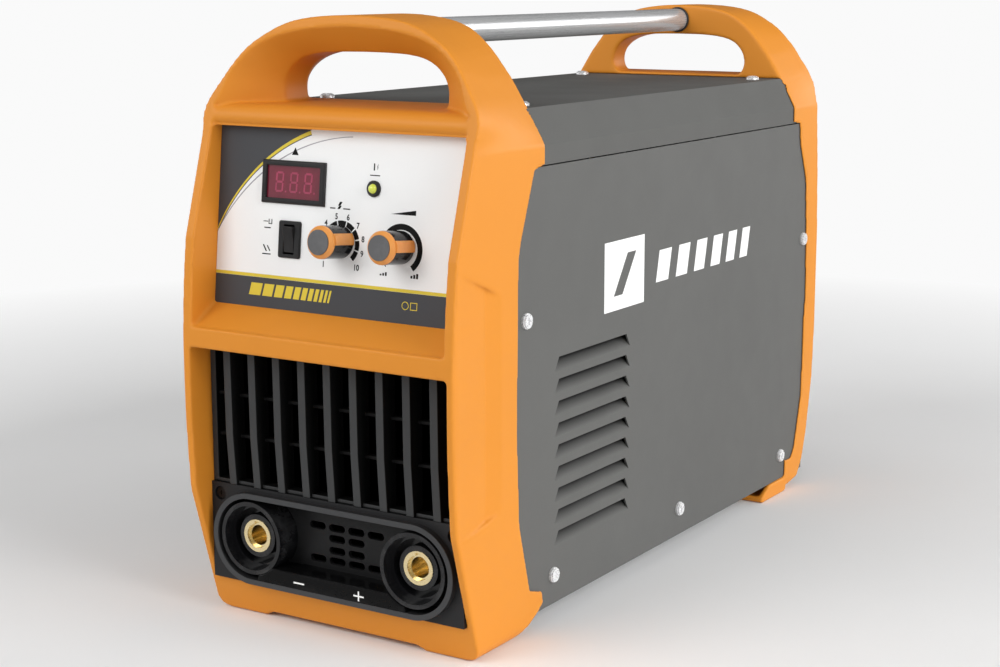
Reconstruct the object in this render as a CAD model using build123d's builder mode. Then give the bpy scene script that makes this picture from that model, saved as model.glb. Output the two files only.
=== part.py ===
from build123d import *
import math
import os

# Portable stick-welding inverter: two end mouldings joined by a sheet-metal shell and a
# handle tube.  Millimetres, +Z up, the operator's panel faces -Y, +X is to the right.
# The origin is on the floor, midway between the two side panels.

os.makedirs("parts", exist_ok=True)

# ---------------------------------------------------------------------------
# Shared dimensions
# ---------------------------------------------------------------------------
SIDES = (("right", 1), ("left", -1))   # name, sign of x
CUT = Mode.SUBTRACT
ON_TOP = (Align.CENTER, Align.CENTER, Align.MIN)
HANGING = (Align.CENTER, Align.CENTER, Align.MAX)

# end mouldings
FRAME_HALF_W = 101.6
CORNER = 9.0              # radius of the lower corners
FRONT_IN = -188.0         # inner (rear) edge of the front moulding
REAR_IN = 183.0           # inner (front) edge of the rear moulding

# sheet-metal shell
SHELL_X = 100.0           # outer face of the side panels
SHELL_T = 1.2             # sheet thickness
SHELL_BOTTOM = 11.5
SHELL_Y0, SHELL_Y1 = -231.0, 217.6
SHELL_LENGTH = SHELL_Y1 - SHELL_Y0
SEAM_Z = 291.0            # joint line between side panels and cover
SEAM_GAP = 0.4            # half of the gap along the joint
COVER_SHOULDER_Z = 303.5
COVER_TOP_Z = 325.2
COVER_TOP_X = 88.5
FIT = 0.1                 # gap between nested pieces
SCREW_HOLE_R = 2.05
SCREW_SHANK_R = 2.0
SCREW_HEAD_R = 4.9
SHANK_LENGTH = 6.0

# outline (x, z) of the pocket in each moulding that takes the shell
SHELL_POCKET = [
    (-SHELL_X - FIT, SHELL_BOTTOM - FIT), (SHELL_X + FIT, SHELL_BOTTOM - FIT),
    (SHELL_X + FIT, COVER_SHOULDER_Z + FIT), (COVER_TOP_X + FIT, COVER_TOP_Z + FIT),
    (-COVER_TOP_X - FIT, COVER_TOP_Z + FIT), (-SHELL_X - FIT, COVER_SHOULDER_Z + FIT),
]

# handle tube
TUBE_Z = 369.0
TUBE_R = 8.5
TUBE_WALL = 1.5
TUBE_SEAT_R = TUBE_R + 0.05
TUBE_Y0, TUBE_Y1 = -206.9, 204.9

# control panel: leans back, its own plane looks forwards and slightly up.
# Places on it are (u, v): u to the right, v up the panel.
LEAN = math.radians(6.17)
PANEL = Plane(origin=(0, -260, 256), x_dir=(1, 0, 0),
              z_dir=(0, -math.cos(LEAN), math.sin(LEAN)))
PANEL_AXIS = Axis((0, 0, 0), PANEL.z_dir)
PANEL_HALF_W = 94.3
PANEL_V0, PANEL_V1 = -58.6, 57.4
PANEL_T = 3.0
PANEL_OPENING_HALF_W = 94.5

# ---------------------------------------------------------------------------
# Helpers.  A sketch made in a helper doesn't join the caller's part by itself, so each
# helper passes its sketch on; the extrusion then joins the caller's BuildPart.
# ---------------------------------------------------------------------------
def save(builder, name):
    """Label the finished piece and write its STEP file."""
    builder.part.label = name
    export_step(builder.part, f"parts/{name}.step")


def upright(y):
    """XZ plane at depth y; its normal points forwards, so negative amounts go rearwards."""
    return Plane.XZ.offset(-y)


def press(plane, amount, shape, *size, at=((0, 0),), hole=None, mode=Mode.ADD):
    """Extrude a sketch shape of the given size at each spot, with an optional round hole."""
    with BuildSketch(plane) as base:
        with Locations(*at):
            shape(*size)
            if hole:
                Circle(hole, mode=CUT)
    return extrude(base.sketch, amount=amount, dir=plane.z_dir, mode=mode)


def prism(plane, points, amount, both=False, mode=Mode.ADD):
    """Extrude the polygon through the given points."""
    with BuildSketch(plane) as base:
        with BuildLine():
            Polyline(*points, points[0])
        make_face()
    return extrude(base.sketch, amount=amount, dir=plane.z_dir, both=both, mode=mode)


def mirrored(half):
    """The left half of a half outline, running back down from the top."""
    return [(-x, z) for x, z in reversed(half)]


def draw_arch(half):
    """Draw a moulding outline: rounded lower corners, straight pillars, curved crown."""
    x_foot = FRAME_HALF_W - CORNER
    x_end, z_end = half[0]
    Line((-x_foot, 0), (x_foot, 0))
    RadiusArc((x_foot, 0), (FRAME_HALF_W, CORNER), -CORNER)
    Line((FRAME_HALF_W, CORNER), half[0])
    Spline(*half)
    Spline(*mirrored(half))
    Line((-x_end, z_end), (-FRAME_HALF_W, CORNER))
    RadiusArc((-FRAME_HALF_W, CORNER), (-x_foot, 0), -CORNER)


def draw_hand_opening(half):
    """Draw a hand opening: flat bottom edge and a curved top."""
    x_end, z_end = half[0]
    Line((-x_end, z_end), half[0])
    Spline(*half)
    Spline(*mirrored(half))


def outline(draw, half, y):
    """Sketch at depth y of the outline drawn from a half outline."""
    with BuildSketch(upright(y)) as base:
        with BuildLine():
            draw(half)
        make_face()
    return base.sketch


# ---------------------------------------------------------------------------
# End mouldings
# ---------------------------------------------------------------------------
# half outlines (x, z) of the crown: at the inner edge and beyond the outer face
CROWN_INNER = [
    (101.6, 303.5), (95.9, 313.5), (91.0, 321.5), (86.5, 329.5), (82.0, 336.5),
    (77.5, 343.5), (72.7, 349.5), (68.0, 355.5), (62.5, 361.5), (57.0, 366.5),
    (50.0, 371.5), (41.0, 375.5), (27.0, 378.6), (13.0, 380.1), (0.0, 380.5),
]
CROWN_OUTER = [
    (101.6, 303.5), (103.8, 313.5), (106.0, 321.5), (104.6, 329.5), (100.6, 336.5),
    (95.8, 343.5), (91.9, 349.5), (87.6, 355.5), (82.1, 361.5), (74.5, 366.5),
    (63.0, 371.5), (51.6, 375.5), (36.9, 378.6), (17.7, 380.1), (0.0, 380.5),
]

# half outlines (x, z) of the front hand opening: rim, throat, rear
FRONT_HAND_RIM = [
    (97.0, 326.2), (95.3, 331.5), (92.5, 345.1), (86.7, 356.2), (76.9, 367.5),
    (63.7, 375.5), (45.8, 381.9), (28.8, 385.4), (9.0, 387.7), (0.0, 388.1),
]
FRONT_HAND_THROAT = [
    (60.5, 326.2), (61.3, 331.3), (61.0, 339.0), (58.5, 344.8), (53.8, 350.0),
    (46.5, 354.2), (36.6, 356.7), (24.8, 357.8), (9.0, 358.2), (0.0, 358.3),
]
FRONT_HAND_REAR = [
    (79.0, 326.2), (79.8, 331.3), (78.6, 339.0), (74.0, 345.2), (66.5, 350.6),
    (55.0, 354.9), (41.0, 357.2), (26.5, 358.2), (9.5, 358.5), (0.0, 358.5),
]

# side profile (y, z) of the front moulding, going up its front and down its rear edge
FRONT_LOW = [(-262.5, 0.0), (-286.9, 84.0)]
FRONT_BULGE = [
    (-286.9, 84.0), (-289.3, 128.0), (-289.8, 166.5), (-287.8, 210.5), (-284.0, 245.0),
]
FRONT_HIGH = [
    (-284.0, 245.0), (-266.4, 304.0), (-247.6, 379.0), (-247.0, 384.0), (-188.0, 384.0),
]
FRONT_REAR_EDGE = [
    (-188.0, 303.1), (-188.0, 291.6), (-199.6, 289.4), (-205.6, 273.5), (-215.2, 248.0),
    (-217.8, 237.5), (-218.6, 190.5), (-219.6, 131.5), (-216.9, 73.5), (-204.7, 28.8),
    (-190.3, 24.6), (-188.6, 16.4), (-195.7, 11.4), (-218.3, 0.0),
]

# cuts in the front moulding, as (y, z) profiles
PANEL_OPENING = [
    (-310, 189.5), (-286.0, 189.5), (-265.2, 202.6), (-253.2, 313.4), (-259.6, 312.2),
    (-310, 312.2),
]
LEDGE_NOSE = [
    (-310, 326.3), (-251.0, 326.3), (-255.6, 325.6), (-259.4, 323.9), (-261.8, 321.2),
    (-262.7, 318.2), (-262.0, 315.4), (-259.8, 313.2), (-256.6, 312.3), (-310, 312.2),
]
# clearance behind the control panel, in the panel plane
RECESS_V0, RECESS_V1 = -59.2, 58.0
RECESS_DEPTH = 60
# openings cut with boxes: width, and heights of the lower and upper edge
INLET_W, INLET_Z0, INLET_Z1 = 193.0, 23.1, 176.5
CAVITY_W, CAVITY_Z0, CAVITY_Z1 = 189.0, 16, 313
# gap between the two pads of the front foot (x, z)
FOOT_RELIEF = [
    (-63.0, -1.0), (-61.0, 0.5), (-56.0, 3.0), (56.0, 3.0), (61.0, 0.5), (63.0, -1.0),
]
# scallop on the outside of a pillar: section (x, y) and extent (y, z)
SCALLOP_SECTION = [
    (106, -284.5), (101.6, -284.5), (98.8, -252.0), (101.6, -238.2), (106, -238.2),
]
SCALLOP_EXTENT = [
    (-290, 241.0), (-238.0, 219.0), (-238.0, 92.0), (-242.0, 87.0), (-290, 78.0),
]


def front_frame():
    with BuildPart() as frame:
        # arch-shaped block, its crown narrower at the rear edge
        loft([outline(draw_arch, CROWN_OUTER, -292.0),
              outline(draw_arch, CROWN_INNER, FRONT_IN)], ruled=True)
        # side profile: leaning front, stepped rear edge
        with BuildSketch(Plane.YZ):
            with BuildLine():
                Polyline(*FRONT_LOW)
                Spline(*FRONT_BULGE)
                Polyline(*FRONT_HIGH, *FRONT_REAR_EDGE, FRONT_LOW[0])
            make_face()
        extrude(amount=120, both=True, mode=Mode.INTERSECT)
        # window for the control panel, with a sloping sill and a lip above
        prism(Plane.YZ, PANEL_OPENING, PANEL_OPENING_HALF_W, both=True, mode=CUT)
        # recess behind the lip: room for the panel and the wiring
        press(PANEL, -RECESS_DEPTH, Rectangle, 2 * PANEL_OPENING_HALF_W, RECESS_V1 - RECESS_V0,
              at=[(0, (RECESS_V0 + RECESS_V1) / 2)], mode=CUT)
        # air inlet and socket window, then the cavity behind it
        with Locations((0, -266, (INLET_Z0 + INLET_Z1) / 2)):
            Box(INLET_W, 80, INLET_Z1 - INLET_Z0, mode=CUT)
        with Locations((0, -246, (CAVITY_Z0 + CAVITY_Z1) / 2)):
            Box(CAVITY_W, 30, CAVITY_Z1 - CAVITY_Z0, mode=CUT)
        # pocket that takes the sheet-metal shell
        prism(upright(-232.0), SHELL_POCKET, -60, mode=CUT)
        # rounded nose of the ledge above the panel
        prism(Plane.YZ, LEDGE_NOSE, PANEL_OPENING_HALF_W, both=True, mode=CUT)
        # dished hand opening: wide at the rim, a straight throat, widening to the rear
        loft([outline(draw_hand_opening, FRONT_HAND_RIM, -263.0),
              outline(draw_hand_opening, FRONT_HAND_THROAT, -232.0)], ruled=True, mode=CUT)
        extrude(outline(draw_hand_opening, FRONT_HAND_THROAT, -232.5), amount=-60.0, mode=CUT)
        loft([outline(draw_hand_opening, FRONT_HAND_THROAT, -210.0),
              outline(draw_hand_opening, FRONT_HAND_REAR, -186.0)], ruled=True, mode=CUT)
        # blind seat for the handle tube
        press(upright(-207.0), -30, Circle, TUBE_SEAT_R, at=[(0, TUBE_Z)], mode=CUT)
        # the foot is relieved between two pads
        prism(upright(-300.0), FOOT_RELIEF, -120.0, mode=CUT)
        # shallow scallop on the outside of each pillar
        for _, s in SIDES:
            section = prism(Plane.XY.offset(60), [(s * x, y) for x, y in SCALLOP_SECTION],
                            200, mode=Mode.PRIVATE)
            extent = prism(Plane.YZ, SCALLOP_EXTENT, 130, both=True, mode=Mode.PRIVATE)
            add(section & extent, mode=CUT)
    save(frame, "front_frame")


# side profile (y, z) of the rear moulding: up its rear face, down its front edge
REAR_BACK = [
    (184.0, 0.0), (208.0, 7.0), (217.0, 20.0), (224.0, 41.0), (232.5, 85.0), (235.0, 130.0),
    (235.0, 200.0), (232.0, 255.0), (228.5, 292.0), (226.5, 323.0), (222.0, 384.0),
]
REAR_FRONT_EDGE = [
    (183.0, 384.0), (183.0, 292.3), (195.4, 290.7), (197.3, 275.5), (210.0, 245.5),
    (213.0, 206.0), (215.5, 155.3), (213.0, 133.5), (212.0, 73.5), (201.0, 32.5),
    (195.0, 24.5), (182.7, 25.4), (141.0, 4.0), (141.0, 0.0),
]
# half outlines (x, z) of the rear hand opening: throat, and mouth at the rear face
REAR_HAND_THROAT = [
    (52.0, 327.4), (56.4, 332.0), (57.4, 338.0), (55.0, 345.5), (49.5, 351.5),
    (40.0, 355.4), (27.0, 357.3), (13.0, 357.9), (0, 358.0),
]
REAR_HAND_MOUTH = [
    (76.0, 327.4), (80.4, 332.0), (80.0, 338.0), (74.0, 345.5), (65.5, 351.0),
    (54.0, 354.9), (37.0, 357.3), (18.0, 358.2), (0, 358.4),
]
REAR_BLOCK_DEPTH = 104.0


def rear_frame():
    with BuildPart() as frame:
        # arch-shaped block, its crown wider at the rear
        loft([outline(draw_arch, CROWN_INNER, REAR_IN),
              outline(draw_arch, CROWN_OUTER, REAR_IN + REAR_BLOCK_DEPTH)], ruled=True)
        # forward part of the foot, under the shell
        with Locations((0, 156, 5.7)):
            Box(2 * FRAME_HALF_W, 60, 11.4)
        prism(Plane.YZ, REAR_BACK + REAR_FRONT_EDGE, 120, both=True, mode=Mode.INTERSECT)
        # pocket that takes the shell and the rear panel
        prism(upright(170.0), SHELL_POCKET, -50.2, mode=CUT)
        # window behind which the rear panel sits
        with Locations((0, 230, 163.0)):
            Box(180, 40, 282, mode=CUT)
        # hand opening: a straight throat that widens to the rear
        extrude(outline(draw_hand_opening, REAR_HAND_THROAT, 170.0), amount=-80, mode=CUT)
        loft([outline(draw_hand_opening, REAR_HAND_THROAT, 202.0),
              outline(draw_hand_opening, REAR_HAND_MOUTH, 238.0)], ruled=True, mode=CUT)
        # hollow of the foot under the shell
        with Locations((0, 162.0, 12.0)):
            Box(2 * 97.0, 38.0, 20.0, mode=CUT)
        # blind seat for the handle tube
        press(upright(205.0), 40, Circle, TUBE_SEAT_R, at=[(0, TUBE_Z)], mode=CUT)
        # gap between the two pads of the foot
        with Locations((0, 190, 0)):
            Box(98, 140, 4.0, mode=CUT)
    save(frame, "rear_frame")


# ---------------------------------------------------------------------------
# Sheet-metal shell
# ---------------------------------------------------------------------------
TOP_SCREWS = [(74.6, 163.0), (-74.6, 163.0), (74.6, -172.0), (-74.6, -172.0)]   # x, y
TOP_HEAD_H = 1.5          # straight part of the screw head
LOWER_SIDE_SCREWS = [(-175.05, 30.8), (0.0, 30.8), (175.05, 30.8)]              # y, z
SIDE_SCREWS = [(-208.2, 199.3), (208.2, 199.3)] + LOWER_SIDE_SCREWS
SIDE_HEAD_H = 1.4         # wide step of the screw head

# cover section (x, z): outer skin from left to right, then back along the inner skin
COVER_SECTION = [
    (-SHELL_X, SEAM_Z + SEAM_GAP), (-SHELL_X, COVER_SHOULDER_Z), (-COVER_TOP_X, COVER_TOP_Z),
    (COVER_TOP_X, COVER_TOP_Z), (SHELL_X, COVER_SHOULDER_Z), (SHELL_X, SEAM_Z + SEAM_GAP),
    (SHELL_X - SHELL_T, SEAM_Z + SEAM_GAP), (SHELL_X - SHELL_T, COVER_SHOULDER_Z - 0.4),
    (COVER_TOP_X - 0.6, COVER_TOP_Z - SHELL_T), (-COVER_TOP_X + 0.6, COVER_TOP_Z - SHELL_T),
    (-SHELL_X + SHELL_T, COVER_SHOULDER_Z - 0.4), (-SHELL_X + SHELL_T, SEAM_Z + SEAM_GAP),
]


def top_cover():
    with BuildPart() as cover:
        prism(upright(SHELL_Y0), COVER_SECTION, -SHELL_LENGTH)
        with Locations(*[(x, y, COVER_TOP_Z) for x, y in TOP_SCREWS]):
            Cylinder(SCREW_HOLE_R, 8, mode=CUT)
    save(cover, "top_cover")


def top_screws():
    with BuildPart() as screws:
        for x, y in TOP_SCREWS:
            with Locations((x, y, COVER_TOP_Z)):
                Cylinder(SCREW_HEAD_R, TOP_HEAD_H, align=ON_TOP)
            with Locations((x, y, COVER_TOP_Z + TOP_HEAD_H)):
                Cone(SCREW_HEAD_R, 3.2, 1.2, align=ON_TOP)
            with Locations((x, y, COVER_TOP_Z)):
                Cylinder(SCREW_SHANK_R, SHANK_LENGTH, align=HANGING)
            # cross recess
            with Locations((x, y, COVER_TOP_Z + 2.7)):
                Box(4.2, 1.0, 2.6, mode=CUT)
                Box(1.0, 4.2, 2.6, mode=CUT)
    save(screws, "top_screws")


LOUVRE_N = 9
LOUVRE_TOP = 170.5        # upper edge of the highest louvre
LOUVRE_PITCH = 14.06
LOUVRE_H = 8.6
LOUVRE_Y0, LOUVRE_Y1 = -168.4, -78.8
# blade section: (distance inside the outer face, distance below the louvre's upper edge)
BLADE = [(0, 8.7), (6.0, 0.6), (7.0, 1.3), (SHELL_T, 9.4), (0, 9.4)]
SIDE_Z0, SIDE_Z1 = SHELL_BOTTOM + FIT, SEAM_Z - SEAM_GAP


def side_panel(side, s):
    with BuildPart() as panel:
        with Locations((s * (SHELL_X - SHELL_T / 2), (SHELL_Y0 + SHELL_Y1) / 2,
                        (SIDE_Z0 + SIDE_Z1) / 2)):
            Box(SHELL_T, SHELL_LENGTH, SIDE_Z1 - SIDE_Z0)
        # louvres: each opening is closed by a blade that slopes inwards to its upper edge
        for i in range(LOUVRE_N):
            z_top = LOUVRE_TOP - i * LOUVRE_PITCH
            z_low = z_top - LOUVRE_H
            prism(Plane.YZ.offset(s * SHELL_X),
                  [(LOUVRE_Y0, z_top), (LOUVRE_Y1 - 2, z_top), (LOUVRE_Y1 + 3, z_low),
                   (LOUVRE_Y0 - 5, z_low)],
                  -s * 4, both=True, mode=CUT)
            prism(upright(LOUVRE_Y0 - 4.9),
                  [(s * (SHELL_X - inside), z_top - below) for inside, below in BLADE],
                  -(LOUVRE_Y1 - LOUVRE_Y0 + 7.8))
        with Locations(*[Location((s * SHELL_X, y, z), (0, 90, 0)) for y, z in SIDE_SCREWS]):
            Cylinder(SCREW_HOLE_R, 8, mode=CUT)
    save(panel, "side_panel_" + side)


def side_screws(side, s):
    face = Plane.YZ.offset(s * SHELL_X)
    with BuildPart() as screws:
        for spot in SIDE_SCREWS:
            # stepped head, then the shank
            press(face, s * SIDE_HEAD_H, Circle, SCREW_HEAD_R, at=[spot])
            press(Plane.YZ.offset(s * (SHELL_X + SIDE_HEAD_H)), s * 1.0, Circle, 4.4, at=[spot])
            press(face, -s * SHANK_LENGTH, Circle, SCREW_SHANK_R, at=[spot])
            # cross recess
            with BuildSketch(Plane.YZ.offset(s * (SHELL_X + 1.3))):
                with Locations(spot):
                    Rectangle(4.4, 1.0)
                    Rectangle(1.0, 4.4)
            extrude(amount=s * 3.0, mode=CUT)
    save(screws, "side_screws_" + side)


TRAY_OUT, TRAY_IN = 98.7, 97.2      # outer and inner face of the flanges
TRAY_BOTTOM, TRAY_FLOOR, TRAY_TOP = 11.6, 13.1, 44.0
TRAY_SECTION = [   # (x, z)
    (-TRAY_OUT, TRAY_BOTTOM), (TRAY_OUT, TRAY_BOTTOM), (TRAY_OUT, TRAY_TOP),
    (TRAY_IN, TRAY_TOP), (TRAY_IN, TRAY_FLOOR), (-TRAY_IN, TRAY_FLOOR),
    (-TRAY_IN, TRAY_TOP), (-TRAY_OUT, TRAY_TOP),
]


def base_tray():
    with BuildPart() as tray:
        prism(upright(SHELL_Y0), TRAY_SECTION, -SHELL_LENGTH)
        # screw holes, drilled through both flanges
        with Locations(*[Location((0, y, z), (0, 90, 0)) for y, z in LOWER_SIDE_SCREWS]):
            Cylinder(SCREW_HOLE_R, 220, mode=CUT)
        # cooling slots in the floor
        with Locations((0, -40, 12)):
            with GridLocations(0, 12, 1, 9):
                Box(70, 4, 6, mode=CUT)
    save(tray, "base_tray")


def carry_tube():
    with BuildPart() as tube:
        press(upright(TUBE_Y0), -(TUBE_Y1 - TUBE_Y0), Circle, TUBE_R,
              at=[(0, TUBE_Z)], hole=TUBE_R - TUBE_WALL)
    save(tube, "carry_tube")


# ---------------------------------------------------------------------------
# Control panel and what is mounted on it
# ---------------------------------------------------------------------------
DISPLAY_UV = (-35.2, 23.8)
DISPLAY_W, DISPLAY_H = 48.8, 26.6
WINDOW_W, WINDOW_H = 41.2, 20.0
LED_UV = (25.0, 23.6)
LED_HOLE_R = 4.0
ROCKER_U, ROCKER_V = ROCKER_UV = (-36.4, -11.0)
ROCKER_HOUSING_W, ROCKER_HOUSING_H = 16.8, 22.8
ROCKER_W = 7.8

# knobs: name, u, rest angle of the pointer in degrees above the +u direction
KNOBS = (("arc_force", 2.3, 14.0), ("current", 46.6, 8.0))
KNOB_V = -9.6
KNOB_R = 10.0
KNOB_FRONT = 23.0         # height of the knob face above the panel
KNOB_STEP = KNOB_FRONT - 4.0   # height at which the body narrows to take the ring
KNOB_GAP = 1.2
CAP_R = 7.5
CAP_T = 1.0
RING_R = 9.9
POINTER_W = 7.0

# control board behind the panel, depths from the panel face
BOARD_DEPTH = 13.95
CONTROL_BOARD_T = 1.6
DEVICE_DEPTH = 5.9        # back of the display module and of the lamp
PIN_LENGTH = BOARD_DEPTH - DEVICE_DEPTH
PIN_PITCH = 2.54
BOARD_CORNERS = [(-78, 42), (78, 42), (-78, -38), (78, -38)]   # (u, v) of the posts


def front_edges(builder):
    """Edges of the foremost face along the panel's normal."""
    return builder.faces().sort_by(PANEL_AXIS)[-1].edges()


def control_panel():
    with BuildPart() as panel:
        with BuildSketch(PANEL):
            with Locations((0, (PANEL_V0 + PANEL_V1) / 2)):
                Rectangle(2 * PANEL_HALF_W, PANEL_V1 - PANEL_V0)
            with Locations(DISPLAY_UV):
                Rectangle(DISPLAY_W - 4, DISPLAY_H - 3, mode=CUT)
            with Locations(LED_UV):
                Circle(LED_HOLE_R, mode=CUT)
            with Locations(ROCKER_UV):
                Rectangle(ROCKER_HOUSING_W - 3, ROCKER_HOUSING_H - 3, mode=CUT)
            with Locations(*[(u, KNOB_V) for _, u, _ in KNOBS]):
                Circle(4.2, mode=CUT)
        extrude(amount=-PANEL_T)
    save(panel, "control_panel")


def display_bezel():
    with BuildPart() as bezel:
        press(PANEL, 2.2, Rectangle, DISPLAY_W, DISPLAY_H, at=[DISPLAY_UV])
        chamfer(front_edges(bezel), 1.0)
        press(PANEL, -8.0, Rectangle, DISPLAY_W - 4.1, DISPLAY_H - 3.1, at=[DISPLAY_UV])
        press(PANEL.offset(3), -12.0, Rectangle, WINDOW_W, WINDOW_H, at=[DISPLAY_UV], mode=CUT)
    save(bezel, "display_bezel")


def display_window():
    with BuildPart() as window:
        press(PANEL.offset(-2.0), 2.6, Rectangle, WINDOW_W - 0.1, WINDOW_H - 0.1,
              at=[DISPLAY_UV])
    save(window, "display_window")


def display_module():
    with BuildPart() as module:
        press(PANEL.offset(-DEVICE_DEPTH), 3.8, Rectangle, WINDOW_W - 0.4, WINDOW_H - 0.4,
              at=[DISPLAY_UV])
        # two rows of pins down to the board
        with BuildSketch(PANEL.offset(-DEVICE_DEPTH)):
            with Locations(DISPLAY_UV):
                with GridLocations(PIN_PITCH, 6 * PIN_PITCH, 12, 2):
                    Rectangle(0.6, 0.6)
        extrude(amount=-PIN_LENGTH)
    save(module, "display_module")


def alarm_led_bezel():
    with BuildPart() as bezel:
        press(PANEL, 2.0, Circle, 4.9, at=[LED_UV])
        chamfer(front_edges(bezel), 0.8)
        press(PANEL, -6.0, Circle, LED_HOLE_R - 0.05, at=[LED_UV])
        press(PANEL.offset(3), -12.0, Circle, 3.0, at=[LED_UV], mode=CUT)
    save(bezel, "alarm_led_bezel")


def alarm_led_lens():
    dome_height = 1.3     # centre of the dome above the panel
    with BuildPart() as lens:
        press(PANEL.offset(-DEVICE_DEPTH), DEVICE_DEPTH + dome_height, Circle, 2.95,
              at=[LED_UV])
        with Locations(Location(PANEL.from_local_coords((*LED_UV, dome_height)))):
            Sphere(2.93)
        with BuildSketch(PANEL.offset(-DEVICE_DEPTH)):
            with Locations(LED_UV):
                with GridLocations(PIN_PITCH, 0, 2, 1):
                    Rectangle(0.5, 0.5)
        extrude(amount=-PIN_LENGTH)
    save(lens, "alarm_led_lens")


def rocker_housing():
    with BuildPart() as housing:
        press(PANEL, 1.8, RectangleRounded, ROCKER_HOUSING_W, ROCKER_HOUSING_H, 1.4,
              at=[ROCKER_UV])
        chamfer(front_edges(housing), 0.6)
        press(PANEL, -13.8, Rectangle, ROCKER_HOUSING_W - 3.1, ROCKER_HOUSING_H - 3.1,
              at=[ROCKER_UV])
        press(PANEL.offset(3), -11.0, Rectangle, 8.4, 18.2, at=[ROCKER_UV], mode=CUT)
    save(housing, "rocker_housing")


# rocker profile (up the panel, out of the panel): a shallow V, pressed at its lower end
ROCKER_PROFILE = [
    (-8.0, -1.6), (-8.0, 1.5), (0.0, 2.4), (8.0, 4.6), (8.0, -0.2), (2.5, -4.5), (-2.5, -4.8),
]


def mode_rocker():
    left_face = Plane(
        origin=PANEL.from_local_coords((ROCKER_U - ROCKER_W / 2, ROCKER_V, 0)),
        x_dir=PANEL.y_dir, z_dir=(1, 0, 0))
    with BuildPart() as rocker:
        prism(left_face, ROCKER_PROFILE, ROCKER_W)
    save(rocker, "mode_rocker")


def knob_body(name, base, turned):
    with BuildPart() as knob:
        # grip with a notch for the pointer
        with BuildSketch(turned.offset(KNOB_GAP)):
            Circle(KNOB_R)
            with Locations((KNOB_R, 0)):
                Rectangle(2.4, POINTER_W + 0.1, mode=CUT)
        extrude(amount=KNOB_STEP - KNOB_GAP)
        press(base.offset(KNOB_STEP), KNOB_FRONT - CAP_T - KNOB_STEP, Circle, CAP_R)
        # shaft
        press(base.offset(KNOB_GAP), -10.7, Circle, 3.0)
    save(knob, name + "_knob")


def knob_ring(name, base, turned):
    with BuildPart() as ring:
        press(base.offset(KNOB_STEP), 3.3, Circle, RING_R, hole=CAP_R + 0.05)
        # bevel the outer front edge: the longer of the two foremost circles
        front_circles = ring.edges().filter_by(GeomType.CIRCLE).sort_by(PANEL_AXIS)[-2:]
        chamfer(front_circles.sort_by(SortBy.LENGTH)[-1], 2.0)
        # pointer bar down the side of the grip
        with BuildSketch(turned.offset(KNOB_GAP)):
            with Locations((KNOB_R - 0.1, 0)):
                Rectangle(2.1, POINTER_W)
            Circle(KNOB_R + 0.6, mode=Mode.INTERSECT)
        extrude(amount=KNOB_STEP + 0.1 - KNOB_GAP)
    save(ring, name + "_knob_ring")


def knob_cap(name, base):
    with BuildPart() as cap:
        press(base.offset(KNOB_FRONT - CAP_T), CAP_T, Circle, CAP_R)
    save(cap, name + "_knob_cap")


def potentiometer(name, base):
    with BuildPart() as pot:
        press(base.offset(-PANEL_T), -10.9, Circle, 8.2)
        press(base.offset(-PANEL_T), 2.9, Circle, 4.1)
        press(base.offset(1), -11.0, Circle, 3.06, mode=CUT)
    save(pot, name + "_potentiometer")


def knob_set(name, u, angle):
    """One knob with its ring, cap and potentiometer."""
    base = Plane(origin=PANEL.from_local_coords((u, KNOB_V, 0)), x_dir=(1, 0, 0),
                 z_dir=PANEL.z_dir)
    cosine = math.cos(math.radians(angle))
    sine = math.sin(math.radians(angle))
    # the same plane turned so that its x direction follows the pointer
    turned = Plane(origin=base.origin, z_dir=PANEL.z_dir,
                   x_dir=(cosine, sine * PANEL.y_dir.Y, sine * PANEL.y_dir.Z))
    knob_body(name, base, turned)
    knob_ring(name, base, turned)
    knob_cap(name, base)
    potentiometer(name, base)


def control_board():
    with BuildPart() as board:
        with BuildSketch(PANEL.offset(-BOARD_DEPTH)):
            with Locations((0, 2)):
                Rectangle(170, 92)
            with Locations(*BOARD_CORNERS):
                Circle(1.6, mode=CUT)
        extrude(amount=-CONTROL_BOARD_T)
        # square and oblong components on the rear face
        with BuildSketch(PANEL.offset(-BOARD_DEPTH - CONTROL_BOARD_T)):
            with Locations((-20, 20), (30, 12)):
                Rectangle(14, 14)
            with Locations((0, -28), (-50, -10), (55, -20)):
                Rectangle(20, 7)
        extrude(amount=-4.0)
    save(board, "control_board")


def board_posts():
    with BuildPart() as posts:
        press(PANEL.offset(-PANEL_T), PANEL_T - BOARD_DEPTH, Circle, 3.2, at=BOARD_CORNERS)
    save(posts, "board_posts")


# ---------------------------------------------------------------------------
# Air inlet grille and socket plate
# ---------------------------------------------------------------------------
PLATE_Y = -272.0          # front face of the socket plate
PLATE_T = 4.0
PLATE_W = 192.8
PLATE_BOTTOM, PLATE_TOP = 23.3, 86.5
GRILLE_BOTTOM, GRILLE_TOP = PLATE_TOP + 0.1, 176.4
SLAT_N = 9
SLAT_PITCH = 19.53
SLAT_W = 5.8
SLAT_PROFILE = [   # (y, z), slightly leaning with the front
    (-262.5, GRILLE_BOTTOM), (-272.4, GRILLE_BOTTOM), (-274.9, 120.0),
    (-275.6, GRILLE_TOP), (-262.5, GRILLE_TOP),
]


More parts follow.
